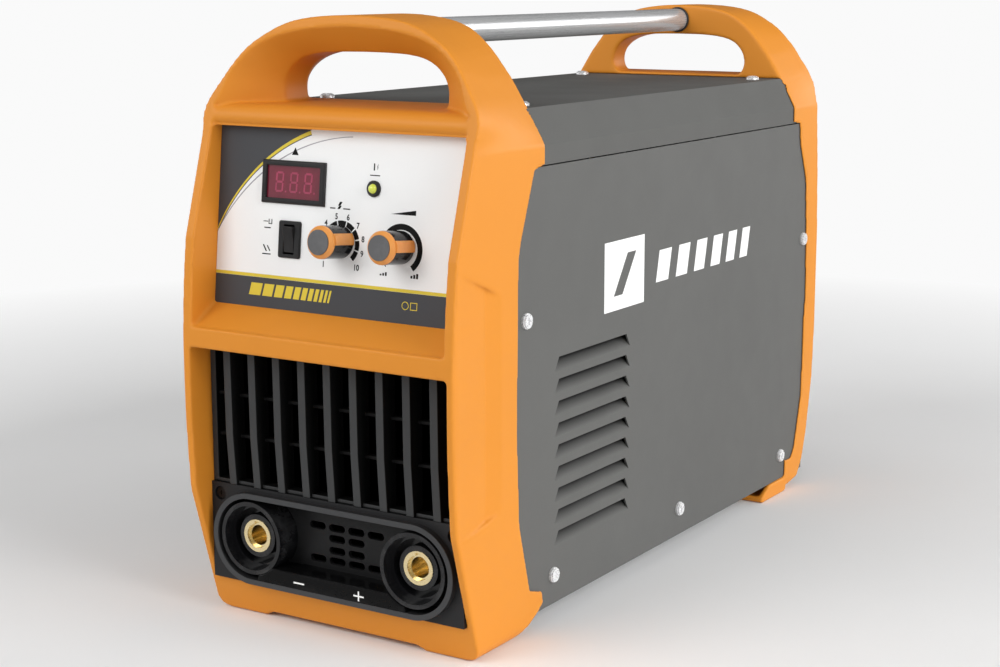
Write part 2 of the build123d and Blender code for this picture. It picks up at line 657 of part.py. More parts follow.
def front_grille():
    with BuildPart() as grille:
        # surround
        with Locations((0, -266.0, (GRILLE_BOTTOM + GRILLE_TOP) / 2)):
            Box(PLATE_W, 8.0, GRILLE_TOP - GRILLE_BOTTOM)
            Box(184.0, 10.0, GRILLE_TOP - PLATE_TOP - 5.0, mode=CUT)
        # upright slats
        slat = prism(Plane.YZ, SLAT_PROFILE, SLAT_W / 2, both=True, mode=Mode.PRIVATE)
        for i in range(SLAT_N):
            add(Pos((i - (SLAT_N - 1) / 2) * SLAT_PITCH, 0, 0) * slat)
        # two cross ribs in the rear part of the slats
        with Locations((0, -264.5, 144.0), (0, -264.5, 117.5)):
            Box(186.0, 5.0, 2.2)
    save(grille, "front_grille")


def inlet_mesh():
    with BuildPart() as mesh:
        with Locations((0, -260.4, (PLATE_TOP + GRILLE_TOP) / 2)):
            Box(186.0, 1.0, 88.0)
            with GridLocations(7.0, 7.0, 25, 12):
                Box(5.6, 3, 5.6, mode=CUT)
    save(mesh, "inlet_mesh")


SOCKET_X = 62.1
SOCKET_Z = 54.5
SOCKETS = (("negative", -SOCKET_X), ("positive", SOCKET_X))
SOCKET_SPOTS = [(x, SOCKET_Z) for _, x in SOCKETS]
SEAT_R = 17.05            # hole for the tail of a socket body
WELL_Y = -258.0           # floor of the well the sockets stand in
WELL_FLOOR_T = 3.0
RIM_Z = 54.0
RIM_OUTER, RIM_INNER = 59.4, 52.6   # heights of the oval rim, outside and inside
RIM_SPOT = [(0, RIM_Z)]
BAND_TOP = 37.5
BAND_FRONT = -276.6
BAND_BOTTOM = RIM_Z - RIM_INNER / 2 - 0.5
PLATE_SCREWS = [(-89.6, 79.2), (89.6, 79.2)]   # (x, z)
PLATE_HEAD_DEPTH = 2.4    # seat of the screw heads below the plate's front face
VENT_SLOTS = [   # centres (x, z)
    (-22.4, 65.0), (-7.4, 65.0), (7.6, 65.0), (22.6, 65.0),
    (-7.4, 58.0), (7.6, 58.0), (-7.4, 50.2), (7.6, 50.2),
    (-22.4, 43.4), (-7.4, 43.4), (7.6, 43.4), (22.6, 43.4),
]


def socket_plate():
    slot_length = 2 * SOCKET_X
    with BuildPart() as plate:
        press(upright(PLATE_Y), -PLATE_T, Rectangle, PLATE_W, PLATE_TOP - PLATE_BOTTOM,
              at=[(0, (PLATE_BOTTOM + PLATE_TOP) / 2)])
        # oval rim standing on the plate, with the wall of the well behind it
        press(upright(PLATE_Y), 5.0, SlotCenterToCenter, slot_length, RIM_OUTER, at=RIM_SPOT)
        wall_y = PLATE_Y + 3.9
        press(upright(wall_y), -(WELL_Y + WELL_FLOOR_T - wall_y), SlotCenterToCenter,
              slot_length, RIM_INNER + 4.0, at=RIM_SPOT)
        press(upright(PLATE_Y - 6.0), -(WELL_Y - PLATE_Y + 6.0), SlotCenterToCenter,
              slot_length, RIM_INNER, at=RIM_SPOT, mode=CUT)
        # lower band inside the well
        with Locations((0, (WELL_Y + BAND_FRONT) / 2, (BAND_BOTTOM + BAND_TOP) / 2)):
            Box(2 * 34.0, WELL_Y - BAND_FRONT, BAND_TOP - BAND_BOTTOM)
        # seats for the socket bodies, vent slots between them, screw holes
        with BuildSketch(upright(WELL_Y - 30.0)):
            with Locations(*SOCKET_SPOTS):
                Circle(SEAT_R)
            with Locations(*VENT_SLOTS):
                SlotOverall(12.4, 4.8)
            with Locations(*PLATE_SCREWS):
                Circle(2.1)
        extrude(amount=-40.0, mode=CUT)
        # sunk seats for the screw heads
        press(upright(PLATE_Y - 1), -(PLATE_HEAD_DEPTH + 1), Circle, 4.4, at=PLATE_SCREWS,
              mode=CUT)
    save(plate, "socket_plate")


def plate_screws():
    seat = upright(PLATE_Y + PLATE_HEAD_DEPTH)
    with BuildPart() as screws:
        press(seat, 1.2, Circle, 3.6, at=PLATE_SCREWS)
        press(seat, -5.0, Circle, SCREW_SHANK_R, at=PLATE_SCREWS)
        # cross recess
        with BuildSketch(upright(PLATE_Y)):
            with Locations(*PLATE_SCREWS):
                Rectangle(3.2, 0.8)
                Rectangle(0.8, 3.2)
        extrude(amount=-1.8, mode=CUT)
    save(screws, "plate_screws")


def socket_body(name, x):
    spot = [(x, SOCKET_Z)]
    with BuildPart() as body:
        # barrel standing on the floor of the well, with its tail behind it
        press(upright(WELL_Y), 18.0, Circle, 23.6, at=spot)
        press(upright(WELL_Y), -13.0, Circle, 17.0, at=spot)
        # hollow mouth with a boss around the contact
        press(upright(WELL_Y - 19.0), -8.0, Circle, 20.9, at=spot, mode=CUT)
        press(upright(WELL_Y - 12.0), -9.0, Circle, 18.4, at=spot, hole=13.9, mode=CUT)
        press(upright(WELL_Y - 19.0), -60.0, Circle, 10.65, at=spot, mode=CUT)
    save(body, name + "_socket_body")


def socket_contact(name, x):
    spot = [(x, SOCKET_Z)]
    with BuildPart() as contact:
        press(upright(WELL_Y - 11.6), -31.6, Circle, 10.6, at=spot)
        # blind bore
        press(upright(WELL_Y - 12.6), -27.0, Circle, 6.6, at=spot, mode=CUT)
        # wider mouth with a keyway
        with BuildSketch(upright(WELL_Y - 12.6)):
            with Locations(*spot):
                Circle(7.9)
            with Locations((x, SOCKET_Z + 7.4)):
                Rectangle(3.6, 4.0)
        extrude(amount=-3.4, mode=CUT)
    save(contact, name + "_socket_contact")


def socket_nut(name, x):
    with BuildPart() as nut:
        press(upright(WELL_Y + WELL_FLOOR_T), -6.0, RegularPolygon, 21.0, 6,
              at=[(x, SOCKET_Z)], hole=SEAT_R)
    save(nut, name + "_socket_nut")


# ---------------------------------------------------------------------------
# Rear panel, fan, switch, cable entry, earth stud
# ---------------------------------------------------------------------------
REAR_Y0, REAR_Y1 = 218.0, 220.0     # inner and outer face of the rear panel
REAR_Z0, REAR_Z1 = 12.0, 311.0
SWITCH_X, SWITCH_Z = 40.0, 268.0
SWITCH_SPOT = [(SWITCH_X, SWITCH_Z)]
GLAND_SPOT = [(-45.0, 262.0)]       # (x, z), as for the other spots
STUD_SPOT = [(64.0, 50.0)]
STUD_HOLE_R = 4.05
FAN_Y0, FAN_Y1 = 180.0, 217.9
FAN_Z = 150.0
FAN_SIZE = 120.0
FAN_BORE_R = 57.0
FAN_SPOT = [(0, FAN_Z)]
FAN_HOLE_OFFSET = 52.5              # mounting holes, from the fan axis in x and z
FAN_HOLES = [(x, FAN_Z + z) for x in (-FAN_HOLE_OFFSET, FAN_HOLE_OFFSET)
             for z in (-FAN_HOLE_OFFSET, FAN_HOLE_OFFSET)]
BLADE_N = 7


def rear_panel():
    with BuildPart() as panel:
        with Locations((0, (REAR_Y0 + REAR_Y1) / 2, (REAR_Z0 + REAR_Z1) / 2)):
            Box(188.0, REAR_Y1 - REAR_Y0, REAR_Z1 - REAR_Z0)
        # openings for the fan, switch, cable gland and earth stud
        with BuildSketch(upright(REAR_Y0 - 2)):
            with Locations(*FAN_SPOT):
                Circle(56.0)
            with Locations(*SWITCH_SPOT):
                Rectangle(22.2, 28.2)
            with Locations(*GLAND_SPOT):
                Circle(10.05)
            with Locations(*STUD_SPOT):
                Circle(STUD_HOLE_R)
        extrude(amount=-8.0, mode=CUT)
    save(panel, "rear_panel")


def fan_frame():
    with BuildPart() as frame:
        with Locations((0, (FAN_Y0 + FAN_Y1) / 2, FAN_Z)):
            Box(FAN_SIZE, FAN_Y1 - FAN_Y0, FAN_SIZE)
        press(upright(FAN_Y0 - 1), -45, Circle, FAN_BORE_R, at=FAN_SPOT, mode=CUT)
        # motor plate on four arms, at the inner side
        with BuildSketch(upright(FAN_Y0)):
            with Locations(*FAN_SPOT):
                Circle(19.0)
                Rectangle(118.0, 5.0)
                Rectangle(5.0, 118.0)
                Circle(4.06, mode=CUT)
        extrude(amount=-5.0)
        press(upright(FAN_Y0 - 1), -45, Circle, 2.2, at=FAN_HOLES, mode=CUT)
    save(frame, "fan_frame")


def fan_rotor():
    with BuildPart() as rotor:
        # hub and shaft
        press(upright(FAN_Y0 + 6.0), -26.0, Circle, 20.0, at=FAN_SPOT)
        press(upright(FAN_Y0 + 0.5), -8.0, Circle, 4.0, at=FAN_SPOT)
        # pitched blades
        for i in range(BLADE_N):
            turn = Location((0, 0, FAN_Z), (0, i * 360 / BLADE_N, 0))
            with Locations(turn * Location((0, 199.0, 36.5), (0, 0, 32))):
                Box(26.0, 1.8, 36.0)
    save(rotor, "fan_rotor")


def fan_guard():
    with BuildPart() as guard:
        # ring around the opening
        press(upright(REAR_Y1), -2.0, Circle, 55.0, at=FAN_SPOT, hole=53.0)
        # diagonal bars
        with BuildSketch(upright(REAR_Y1 + 2.0)):
            with Locations(*FAN_SPOT):
                Rectangle(152.0, 3.0, rotation=45)
                Rectangle(152.0, 3.0, rotation=-45)
        extrude(amount=-2.0)
        # drilled lugs at the corners
        press(upright(REAR_Y1), -4.0, Circle, 4.6, at=FAN_HOLES)
        press(upright(REAR_Y1 - 1.0), -6.0, Circle, 2.1, at=FAN_HOLES, mode=CUT)
    save(guard, "fan_guard")


def power_switch_housing():
    with BuildPart() as housing:
        press(upright(REAR_Y1), -2.4, RectangleRounded, 27.0, 33.0, 2.0, at=SWITCH_SPOT)
        press(upright(REAR_Y1), 24.0, Rectangle, 22.0, 28.0, at=SWITCH_SPOT)
        press(upright(REAR_Y1 + 4.0), 16.0, Rectangle, 18.4, 24.6, at=SWITCH_SPOT, mode=CUT)
    save(housing, "power_switch_housing")


SWITCH_ROCKER_W = 18.0
# profile: (y beyond the rear panel's outer face, z from the switch centre)
SWITCH_ROCKER = [
    (-3.0, -11.0), (2.0, -11.0), (2.8, 0), (5.4, 11.0), (-0.6, 11.0), (-7.0, 3.0), (-7.0, -3.0),
]


def power_switch_rocker():
    with BuildPart() as rocker:
        prism(Plane.YZ.offset(SWITCH_X - SWITCH_ROCKER_W / 2),
              [(REAR_Y1 + y, SWITCH_Z + z) for y, z in SWITCH_ROCKER], SWITCH_ROCKER_W)
    save(rocker, "power_switch_rocker")


GLAND_HEX_R = 13.5        # corner radius
GLAND_HEX_T = 5.0
GLAND_THREAD_R = 10.0
CABLE_R = 6.0


def cable_gland():
    with BuildPart() as gland:
        # outer hexagon, dome nut and threaded tail
        press(upright(REAR_Y1), -GLAND_HEX_T, RegularPolygon, GLAND_HEX_R, 6, at=GLAND_SPOT)
        press(upright(REAR_Y1 + GLAND_HEX_T), -9.0, Circle, 11.0, at=GLAND_SPOT)
        press(upright(REAR_Y1), 12.0, Circle, GLAND_THREAD_R, at=GLAND_SPOT)
        # hexagon inside the panel
        press(upright(REAR_Y0 - 2.0), -1.9, RegularPolygon, GLAND_HEX_R, 6, at=GLAND_SPOT,
              hole=GLAND_THREAD_R)
        press(upright(REAR_Y1 + 15.0), 40.0, Circle, CABLE_R + 0.05, at=GLAND_SPOT, mode=CUT)
    save(gland, "cable_gland")


def mains_cable():
    with BuildPart() as cable:
        press(upright(REAR_Y1 + 13.9), 40.0, Circle, CABLE_R, at=GLAND_SPOT)
    save(cable, "mains_cable")


def earth_stud():
    with BuildPart() as stud:
        # shank, thicker outer end, hexagon head inside the panel
        press(upright(REAR_Y0 - 6.0), -24.0, Circle, 3.8, at=STUD_SPOT)
        press(upright(REAR_Y1 + 5.0), -11.0, Circle, 4.0, at=STUD_SPOT)
        press(upright(REAR_Y0 - 6.0), -6.0, RegularPolygon, 7.0, 6, at=STUD_SPOT)
    save(stud, "earth_stud")


def earth_nut():
    with BuildPart() as nut:
        press(upright(REAR_Y1), -5.0, RegularPolygon, 7.4, 6, at=STUD_SPOT, hole=STUD_HOLE_R)
    save(nut, "earth_nut")


# ---------------------------------------------------------------------------
# Electronics inside the shell
# ---------------------------------------------------------------------------
BOARD_Z = 55.0            # underside of the main board
BOARD_T = 2.0
DECK_Z = BOARD_Z + BOARD_T   # top of the main board
STANDOFFS = [(-80, -200), (80, -200), (-80, 150), (80, 150), (-80, -25), (80, -25)]
HEATSINK_Y, HEATSINK_LENGTH, HEATSINK_H = 15.0, 210.0, 70.0
FIN_N = 9
FIN_PITCH = 8.0
TRANSISTOR_X = 42.9
TRANSISTOR_Y = (-65.0, -25.0, 15.0, 55.0, 95.0)
TRANSFORMER_Y = -120.0
CAPACITORS = [(-19, -40), (19, -40), (-19, 0), (19, 0), (-19, 40), (19, 40)]


def board_standoffs():
    with BuildPart() as standoffs:
        press(Plane.XY.offset(TRAY_FLOOR), BOARD_Z - TRAY_FLOOR, Circle, 5.0, at=STANDOFFS)
    save(standoffs, "board_standoffs")


def main_board():
    with BuildPart() as board:
        press(Plane.XY.offset(BOARD_Z), BOARD_T, Rectangle, 176, 370, at=[(0, -25)])
    save(board, "main_board")


def heatsink(side, s):
    with BuildPart() as sink:
        # upright plate, with fins towards the side panel
        with Locations((s * 49.0, HEATSINK_Y, DECK_Z + HEATSINK_H / 2)):
            Box(6.0, HEATSINK_LENGTH, HEATSINK_H)
        for i in range(FIN_N):
            with Locations((s * 66.0, HEATSINK_Y, DECK_Z + 3.0 + i * FIN_PITCH)):
                Box(28.0, HEATSINK_LENGTH, 2.0)
    save(sink, "heatsink_" + side)


def power_transistors():
    with BuildPart() as transistors:
        for _, s in SIDES:
            for y in TRANSISTOR_Y:
                with Locations((s * TRANSISTOR_X, y, DECK_Z + 32.0)):
                    Box(6.0, 18.0, 24.0)
                # three legs down to the board
                with Locations((s * TRANSISTOR_X, y, DECK_Z + 10.0)):
                    with GridLocations(0, 5.4, 1, 3):
                        Box(0.8, 1.2, 20.0)
    save(transistors, "power_transistors")


def transformer_core():
    with BuildPart() as core:
        # rectangular frame with a centre limb
        with Locations((0, TRANSFORMER_Y, DECK_Z + 32.0)):
            Box(76.0, 44.0, 64.0)
            Box(60.0, 50.0, 44.0, mode=CUT)
            Box(20.0, 44.0, 50.0)
    save(core, "transformer_core")


def transformer_winding():
    with BuildPart() as winding:
        with BuildSketch(Plane.XY.offset(DECK_Z + 11.0)):
            with Locations((0, TRANSFORMER_Y)):
                RectangleRounded(58.0, 74.0, 12.0)
                Rectangle(20.4, 44.4, mode=CUT)
        extrude(amount=42.0)
    save(winding, "transformer_winding")


def output_choke():
    with BuildPart() as choke:
        press(Plane.XY.offset(DECK_Z), 30.0, Circle, 23.0, at=[(0, -187.0)], hole=9.0)
        fillet(choke.edges().filter_by(GeomType.CIRCLE).sort_by(Axis.Z)[-2:], 4.0)
    save(choke, "output_choke")


def bulk_capacitors():
    with BuildPart() as cans:
        press(Plane.XY.offset(DECK_Z), 52.0, Circle, 17.0, at=CAPACITORS)
        top_circles = cans.edges().filter_by(GeomType.CIRCLE).sort_by(Axis.Z)[-6:]
        chamfer(top_circles, 1.5)
    save(cans, "bulk_capacitors")


def input_rectifier():
    y, height = 100.0, 20.0
    with BuildPart() as rectifier:
        with Locations((0, y, DECK_Z + height / 2)):
            Box(50.0, 40.0, height)
        # three terminals on top
        with Locations(*[(x, y, DECK_Z + height) for x in (-15.0, 0.0, 15.0)]):
            Cylinder(3.0, 6.0, align=ON_TOP)
    save(rectifier, "input_rectifier")


BUSBAR_W = 16.0
# profile (y, z): upright leg behind the socket, then a level leg to the rear
BUSBAR_PROFILE = [
    (-237.95, 36.0), (-234.05, 36.0), (-234.05, 57.1), (-196.0, 57.1), (-196.0, 60.1),
    (-237.95, 60.1),
]


def busbar(name, x):
    """Flat bar from the tail of a socket up to the board."""
    with BuildPart() as bar:
        prism(Plane.YZ.offset(x - BUSBAR_W / 2), BUSBAR_PROFILE, BUSBAR_W)
    save(bar, name + "_busbar")


# ---------------------------------------------------------------------------
# Build everything
# ---------------------------------------------------------------------------
SINGLE_PIECES = (
    front_frame, rear_frame, top_cover, top_screws, base_tray, carry_tube,
    control_panel, display_bezel, display_window, display_module,
    alarm_led_bezel, alarm_led_lens, rocker_housing, mode_rocker, control_board, board_posts,
    front_grille, inlet_mesh, socket_plate, plate_screws,
    rear_panel, fan_frame, fan_rotor, fan_guard, power_switch_housing, power_switch_rocker,
    cable_gland, mains_cable, earth_stud, earth_nut,
    board_standoffs, main_board, power_transistors, transformer_core, transformer_winding,
    output_choke, bulk_capacitors, input_rectifier,
)
for build in SINGLE_PIECES:
    build()
for side, s in SIDES:
    for build in (side_panel, side_screws, heatsink):
        build(side, s)
for name, u, angle in KNOBS:
    knob_set(name, u, angle)
for name, x in SOCKETS:
    for build in (socket_body, socket_contact, socket_nut, busbar):
        build(name, x)
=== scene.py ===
# Inverter welding power source: looks, printed markings and studio for its CAD pieces.
# The row frame has x to the right seen from the front, the front towards -y and z up,
# with the floor at z = 0. Lengths are millimetres where a shape is drawn on a face, and
# metres in modifiers, shader ranges and lights.
import bpy
import bmesh
import math
from mathutils import Matrix, Vector


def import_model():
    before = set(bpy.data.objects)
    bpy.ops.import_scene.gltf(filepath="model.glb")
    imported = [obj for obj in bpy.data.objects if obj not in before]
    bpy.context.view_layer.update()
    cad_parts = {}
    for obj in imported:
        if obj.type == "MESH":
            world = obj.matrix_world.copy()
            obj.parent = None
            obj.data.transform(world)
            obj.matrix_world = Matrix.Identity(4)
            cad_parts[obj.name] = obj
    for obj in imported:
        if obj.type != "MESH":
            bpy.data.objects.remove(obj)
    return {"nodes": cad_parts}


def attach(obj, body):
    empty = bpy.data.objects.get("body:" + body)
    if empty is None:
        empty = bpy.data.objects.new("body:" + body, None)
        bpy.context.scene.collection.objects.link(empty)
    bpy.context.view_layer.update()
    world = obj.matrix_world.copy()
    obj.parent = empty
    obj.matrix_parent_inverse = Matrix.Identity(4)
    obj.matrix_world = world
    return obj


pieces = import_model()["nodes"]
MM = 0.001


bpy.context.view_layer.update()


# ---------------------------------------------------------------------------
# Shader nodes
# ---------------------------------------------------------------------------
def feed(tree, socket, value):
    """Links an output socket to an input, or sets the input to a plain value."""
    if isinstance(value, bpy.types.NodeSocket):
        tree.links.new(value, socket)
    else:
        socket.default_value = value


def add_node(tree, kind, inputs=None, **settings):
    """A new node; inputs maps an input name or index to a socket or a value."""
    node = tree.nodes.new(kind)
    for key, value in settings.items():
        setattr(node, key, value)
    for key, value in (inputs or {}).items():
        feed(tree, node.inputs[key], value)
    return node


def map_range(tree, value, start, end, low=0.0, high=1.0):
    """Maps start..end to low..high, clamped."""
    return add_node(tree, "ShaderNodeMapRange", {
        "Value": value, "From Min": start, "From Max": end, "To Min": low, "To Max": high,
    }).outputs["Result"]


def multiply(tree, first, second):
    return add_node(tree, "ShaderNodeMath", {0: first, 1: second},
                    operation="MULTIPLY").outputs[0]


def shade(rgb, factor, lift=0.0):
    """The colour made darker or lighter, kept at or below one."""
    return tuple(min(1, c * factor + lift) for c in rgb)


class Material:
    """A Principled material with object coordinates and stacked bumps."""

    def __init__(self, name):
        self.data = bpy.data.materials.new(name)
        self.data.use_nodes = True
        self.tree = self.data.node_tree
        self.shader = self.tree.nodes["Principled BSDF"]
        self.place = add_node(self.tree, "ShaderNodeTexCoord").outputs["Object"]
        self.normal = None

    def noise(self, scale, detail=4.0, roughness=0.5, distortion=0.0, vector=None):
        return add_node(self.tree, "ShaderNodeTexNoise", {
            "Vector": vector or self.place, "Scale": scale, "Detail": detail,
            "Roughness": roughness, "Distortion": distortion}).outputs["Fac"]

    def voronoi(self, scale):
        return add_node(self.tree, "ShaderNodeTexVoronoi",
                        {"Vector": self.place, "Scale": scale}).outputs["Distance"]

    def ramp(self, value, start, end, low=0.0, high=1.0):
        return map_range(self.tree, value, start, end, low, high)

    def spread(self, noise, low=0.0, high=1.0):
        """Stretches the middle of a noise to the whole of low..high."""
        return self.ramp(noise, 0.3, 0.7, low, high)

    def mix(self, factor, base, over):
        """Mixes a colour or socket with a colour; 0, 6 and 7 are factor, A and B."""
        if isinstance(base, tuple):
            base = (*base, 1.0)
        return add_node(self.tree, "ShaderNodeMix", {0: factor, 6: base, 7: (*over, 1.0)},
                        data_type="RGBA").outputs[2]

    def bump(self, height, strength, distance):
        inputs = {"Height": height, "Strength": strength, "Distance": distance}
        if self.normal is not None:
            inputs["Normal"] = self.normal
        self.normal = add_node(self.tree, "ShaderNodeBump", inputs).outputs["Normal"]
        self.set(Normal=self.normal)

    def set(self, **values):
        for key, value in values.items():
            feed(self.tree, self.shader.inputs[key.replace("_", " ")], value)


# ---------------------------------------------------------------------------
# Kinds of material; every scale and depth is in object space, metres
# ---------------------------------------------------------------------------
def plastic(name, rgb, rough=0.38, grain=1.0, vary=0.06, spec=0.5):
    """Moulded plastic: soft clouds, patchy pale edges and a fine grain."""
    m = Material(name)
    clouds = m.ramp(m.noise(9.0, detail=3.0), 0.35, 0.65)
    color = m.mix(clouds, shade(rgb, 1 - vary), shade(rgb, 1 + vary))
    geometry = add_node(m.tree, "ShaderNodeNewGeometry")
    edges = m.ramp(geometry.outputs["Pointiness"], 0.52, 0.62)
    patches = m.ramp(m.noise(60.0, detail=5.0, roughness=0.7), 0.45, 0.62)
    color = m.mix(multiply(m.tree, edges, patches), color, shade(rgb, 1.12, lift=0.02))
    m.set(Base_Color=color, Specular_IOR_Level=spec,
          Roughness=m.spread(m.noise(45.0), rough - 0.02, rough + 0.03))
    m.bump(m.noise(1400.0, detail=2.0, roughness=0.6), strength=0.09 * grain, distance=0.0003)
    return m


def printed(name, rgb, rough=0.36, spec=0.2):
    """Even screen print: one colour with very fine dots and film grain."""
    m = Material(name)
    dots = m.ramp(m.voronoi(1500.0), 0.0, 0.6)
    m.set(Base_Color=m.mix(dots, shade(rgb, 0.992), shade(rgb, 1.008)),
          Roughness=m.spread(m.noise(300.0, detail=2.0), rough - 0.01, rough + 0.02),
          Specular_IOR_Level=spec)
    m.bump(m.noise(900.0, detail=2.0, roughness=0.6), strength=0.03, distance=0.0002)
    return m


def powder(name, rgb, rough, spec, louvre_shade_span=None):
    """Powder coat; louvre_shade_span is the |x| range over which the painted shade of the
    pressed-in louvres fades and the coat comes out of the dark.
    """
    m = Material(name)
    color = m.mix(m.spread(m.noise(7.0)), shade(rgb, 0.965), shade(rgb, 1.035))
    specks = m.ramp(m.voronoi(2600.0), 0.0, 0.5)
    color = m.mix(m.ramp(specks, 0.0, 1.0, low=0.0, high=0.10), color, shade(rgb, 1.5))
    if louvre_shade_span:
        split = add_node(m.tree, "ShaderNodeSeparateXYZ", {0: m.place})
        distance = add_node(m.tree, "ShaderNodeMath", {0: split.outputs[0]},
                            operation="ABSOLUTE").outputs[0]
        # painted shade: surfaces lying further in from the side face are painted darker, down to
        # 3.5 % of the coat at the deepest
        dark = m.ramp(distance, *louvre_shade_span, low=1.0, high=0.0)
        color = m.mix(dark, color, shade(rgb, 0.035))
    m.set(Base_Color=color, Specular_IOR_Level=spec,
          Roughness=m.spread(m.noise(30.0), rough - 0.05, rough + 0.06))
    m.bump(m.noise(1500.0, detail=2.0, roughness=0.6), strength=0.16, distance=0.0004)
    m.bump(m.voronoi(1100.0), strength=0.05, distance=0.0003)
    return m


def metal(name, rgb, rough, scale, stretch=(1, 1, 1), amount=0.12, bump=0.03, metallic=1.0):
    """Streaked metal; amount is how far the streaks move the roughness."""
    m = Material(name)
    vector = add_node(m.tree, "ShaderNodeMapping",
                      {"Vector": m.place, "Scale": stretch}).outputs["Vector"]
    streaks = m.noise(scale, detail=5.0, roughness=0.65, vector=vector)
    m.set(Base_Color=m.mix(m.spread(streaks), shade(rgb, 0.90), shade(rgb, 1.06)),
          Roughness=m.spread(streaks, max(0.03, rough - amount), rough + amount),
          Metallic=metallic)
    m.bump(streaks, strength=bump, distance=0.0003)
    return m


def lens(name, rgb, glow=0.0, rough=0.08):
    """Coated clear plastic, faintly glowing when glow is set."""
    m = Material(name)
    clouds = m.spread(m.noise(180.0, detail=3.0))
    m.set(Base_Color=m.mix(clouds, shade(rgb, 0.85), shade(rgb, 1.1)),
          Roughness=m.spread(m.noise(220.0, detail=3.0), rough - 0.03, rough + 0.05),
          Coat_Weight=0.6, Coat_Roughness=0.05)
    m.bump(m.noise(500.0, detail=2.0), strength=0.02, distance=0.0003)
    if glow:
        m.set(Emission_Color=(*rgb, 1.0), Emission_Strength=glow)
    return m


def solder_mask():
    """Green circuit board with paler tracks and dots of solder."""
    m = Material("solder_mask")
    tracks = m.ramp(m.noise(90.0, detail=2.0, roughness=0.3, distortion=2.0), 0.48, 0.52)
    color = m.mix(tracks, (0.010, 0.10, 0.035), (0.018, 0.17, 0.06))
    dots = m.ramp(m.voronoi(160.0), 0.05, 0.08, low=0.6, high=0.0)
    m.set(Base_Color=m.mix(dots, color, (0.5, 0.5, 0.45)),
          Roughness=m.spread(m.noise(120.0), 0.25, 0.38))
    m.bump(tracks, strength=0.15, distance=0.0002)
    return m


def masked_plastic(name, rgb, rough, rules):
    """Plastic whose shade and polish change with place and facing.

    Each rule is (limits, colour, roughness); each limit is (axis, from, to, softness),
    where axis is x, y or z of the place, or ny for the y of the surface normal.
    """
    m = Material(name)
    tree = m.tree
    axes = dict(zip("xyz", add_node(tree, "ShaderNodeSeparateXYZ", {0: m.place}).outputs))
    if any(limit[0] == "ny" for limits, _, _ in rules for limit in limits):
        normal = add_node(tree, "ShaderNodeNewGeometry").outputs["Normal"]
        axes["ny"] = add_node(tree, "ShaderNodeSeparateXYZ", {0: normal}).outputs[1]

    color = m.mix(m.spread(m.noise(14.0, detail=3.0)), shade(rgb, 0.94), shade(rgb, 1.06))
    roughness = m.spread(m.noise(50.0), rough - 0.03, rough + 0.04)
    for limits, rule_rgb, rule_rough in rules:
        mask = None
        for axis, low, high, soft in limits:
            above = m.ramp(axes[axis], low - soft, low + soft)
            below = m.ramp(axes[axis], high - soft, high + soft, low=1.0, high=0.0)
            inside = multiply(tree, above, below)
            mask = multiply(tree, mask, inside) if mask else inside
        color = m.mix(mask, color, rule_rgb)
        # inputs 0, 2 and 3 of a number mix are factor, A and B
        roughness = add_node(tree, "ShaderNodeMix",
                             {0: mask, 2: roughness, 3: rule_rough}).outputs[0]
    m.set(Base_Color=color, Roughness=roughness, Specular_IOR_Level=0.16)
    m.bump(m.noise(1400.0, detail=2.0, roughness=0.6), strength=0.056, distance=0.0003)
    return m


# ---------------------------------------------------------------------------
# The materials
# ---------------------------------------------------------------------------
GREY = (0.103, 0.103, 0.099)
FAR = 9.0    # a limit beyond every piece

# front faces stay satin, while painted shade makes the sides and the parts further back fall off
# into the dark
SLAT_SHADE_RULES = [
    ([("ny", -0.75, FAR, 0.1)], (0.0055, 0.0055, 0.0055), 0.5),
    ([("y", -0.2690, FAR, 0.0015)], (0.0035, 0.0035, 0.0035), 0.55),
]
# paler foremost surface, darker recessed surface, polished field at the foot
PLATE_RULES = [
    ([("y", -FAR, -0.2763, 0.0001)], (0.052, 0.053, 0.055), 0.40),
    ([("y", -0.2719, FAR, 0.0001)], (0.013, 0.013, 0.0135), 0.34),
    ([("x", -0.0345, 0.0345, 0.0001), ("z", 0.0262, 0.0376, 0.0001),
      ("y", -0.2768, -0.250, 0.0001)], (0.0045, 0.0045, 0.0048), 0.16),
]

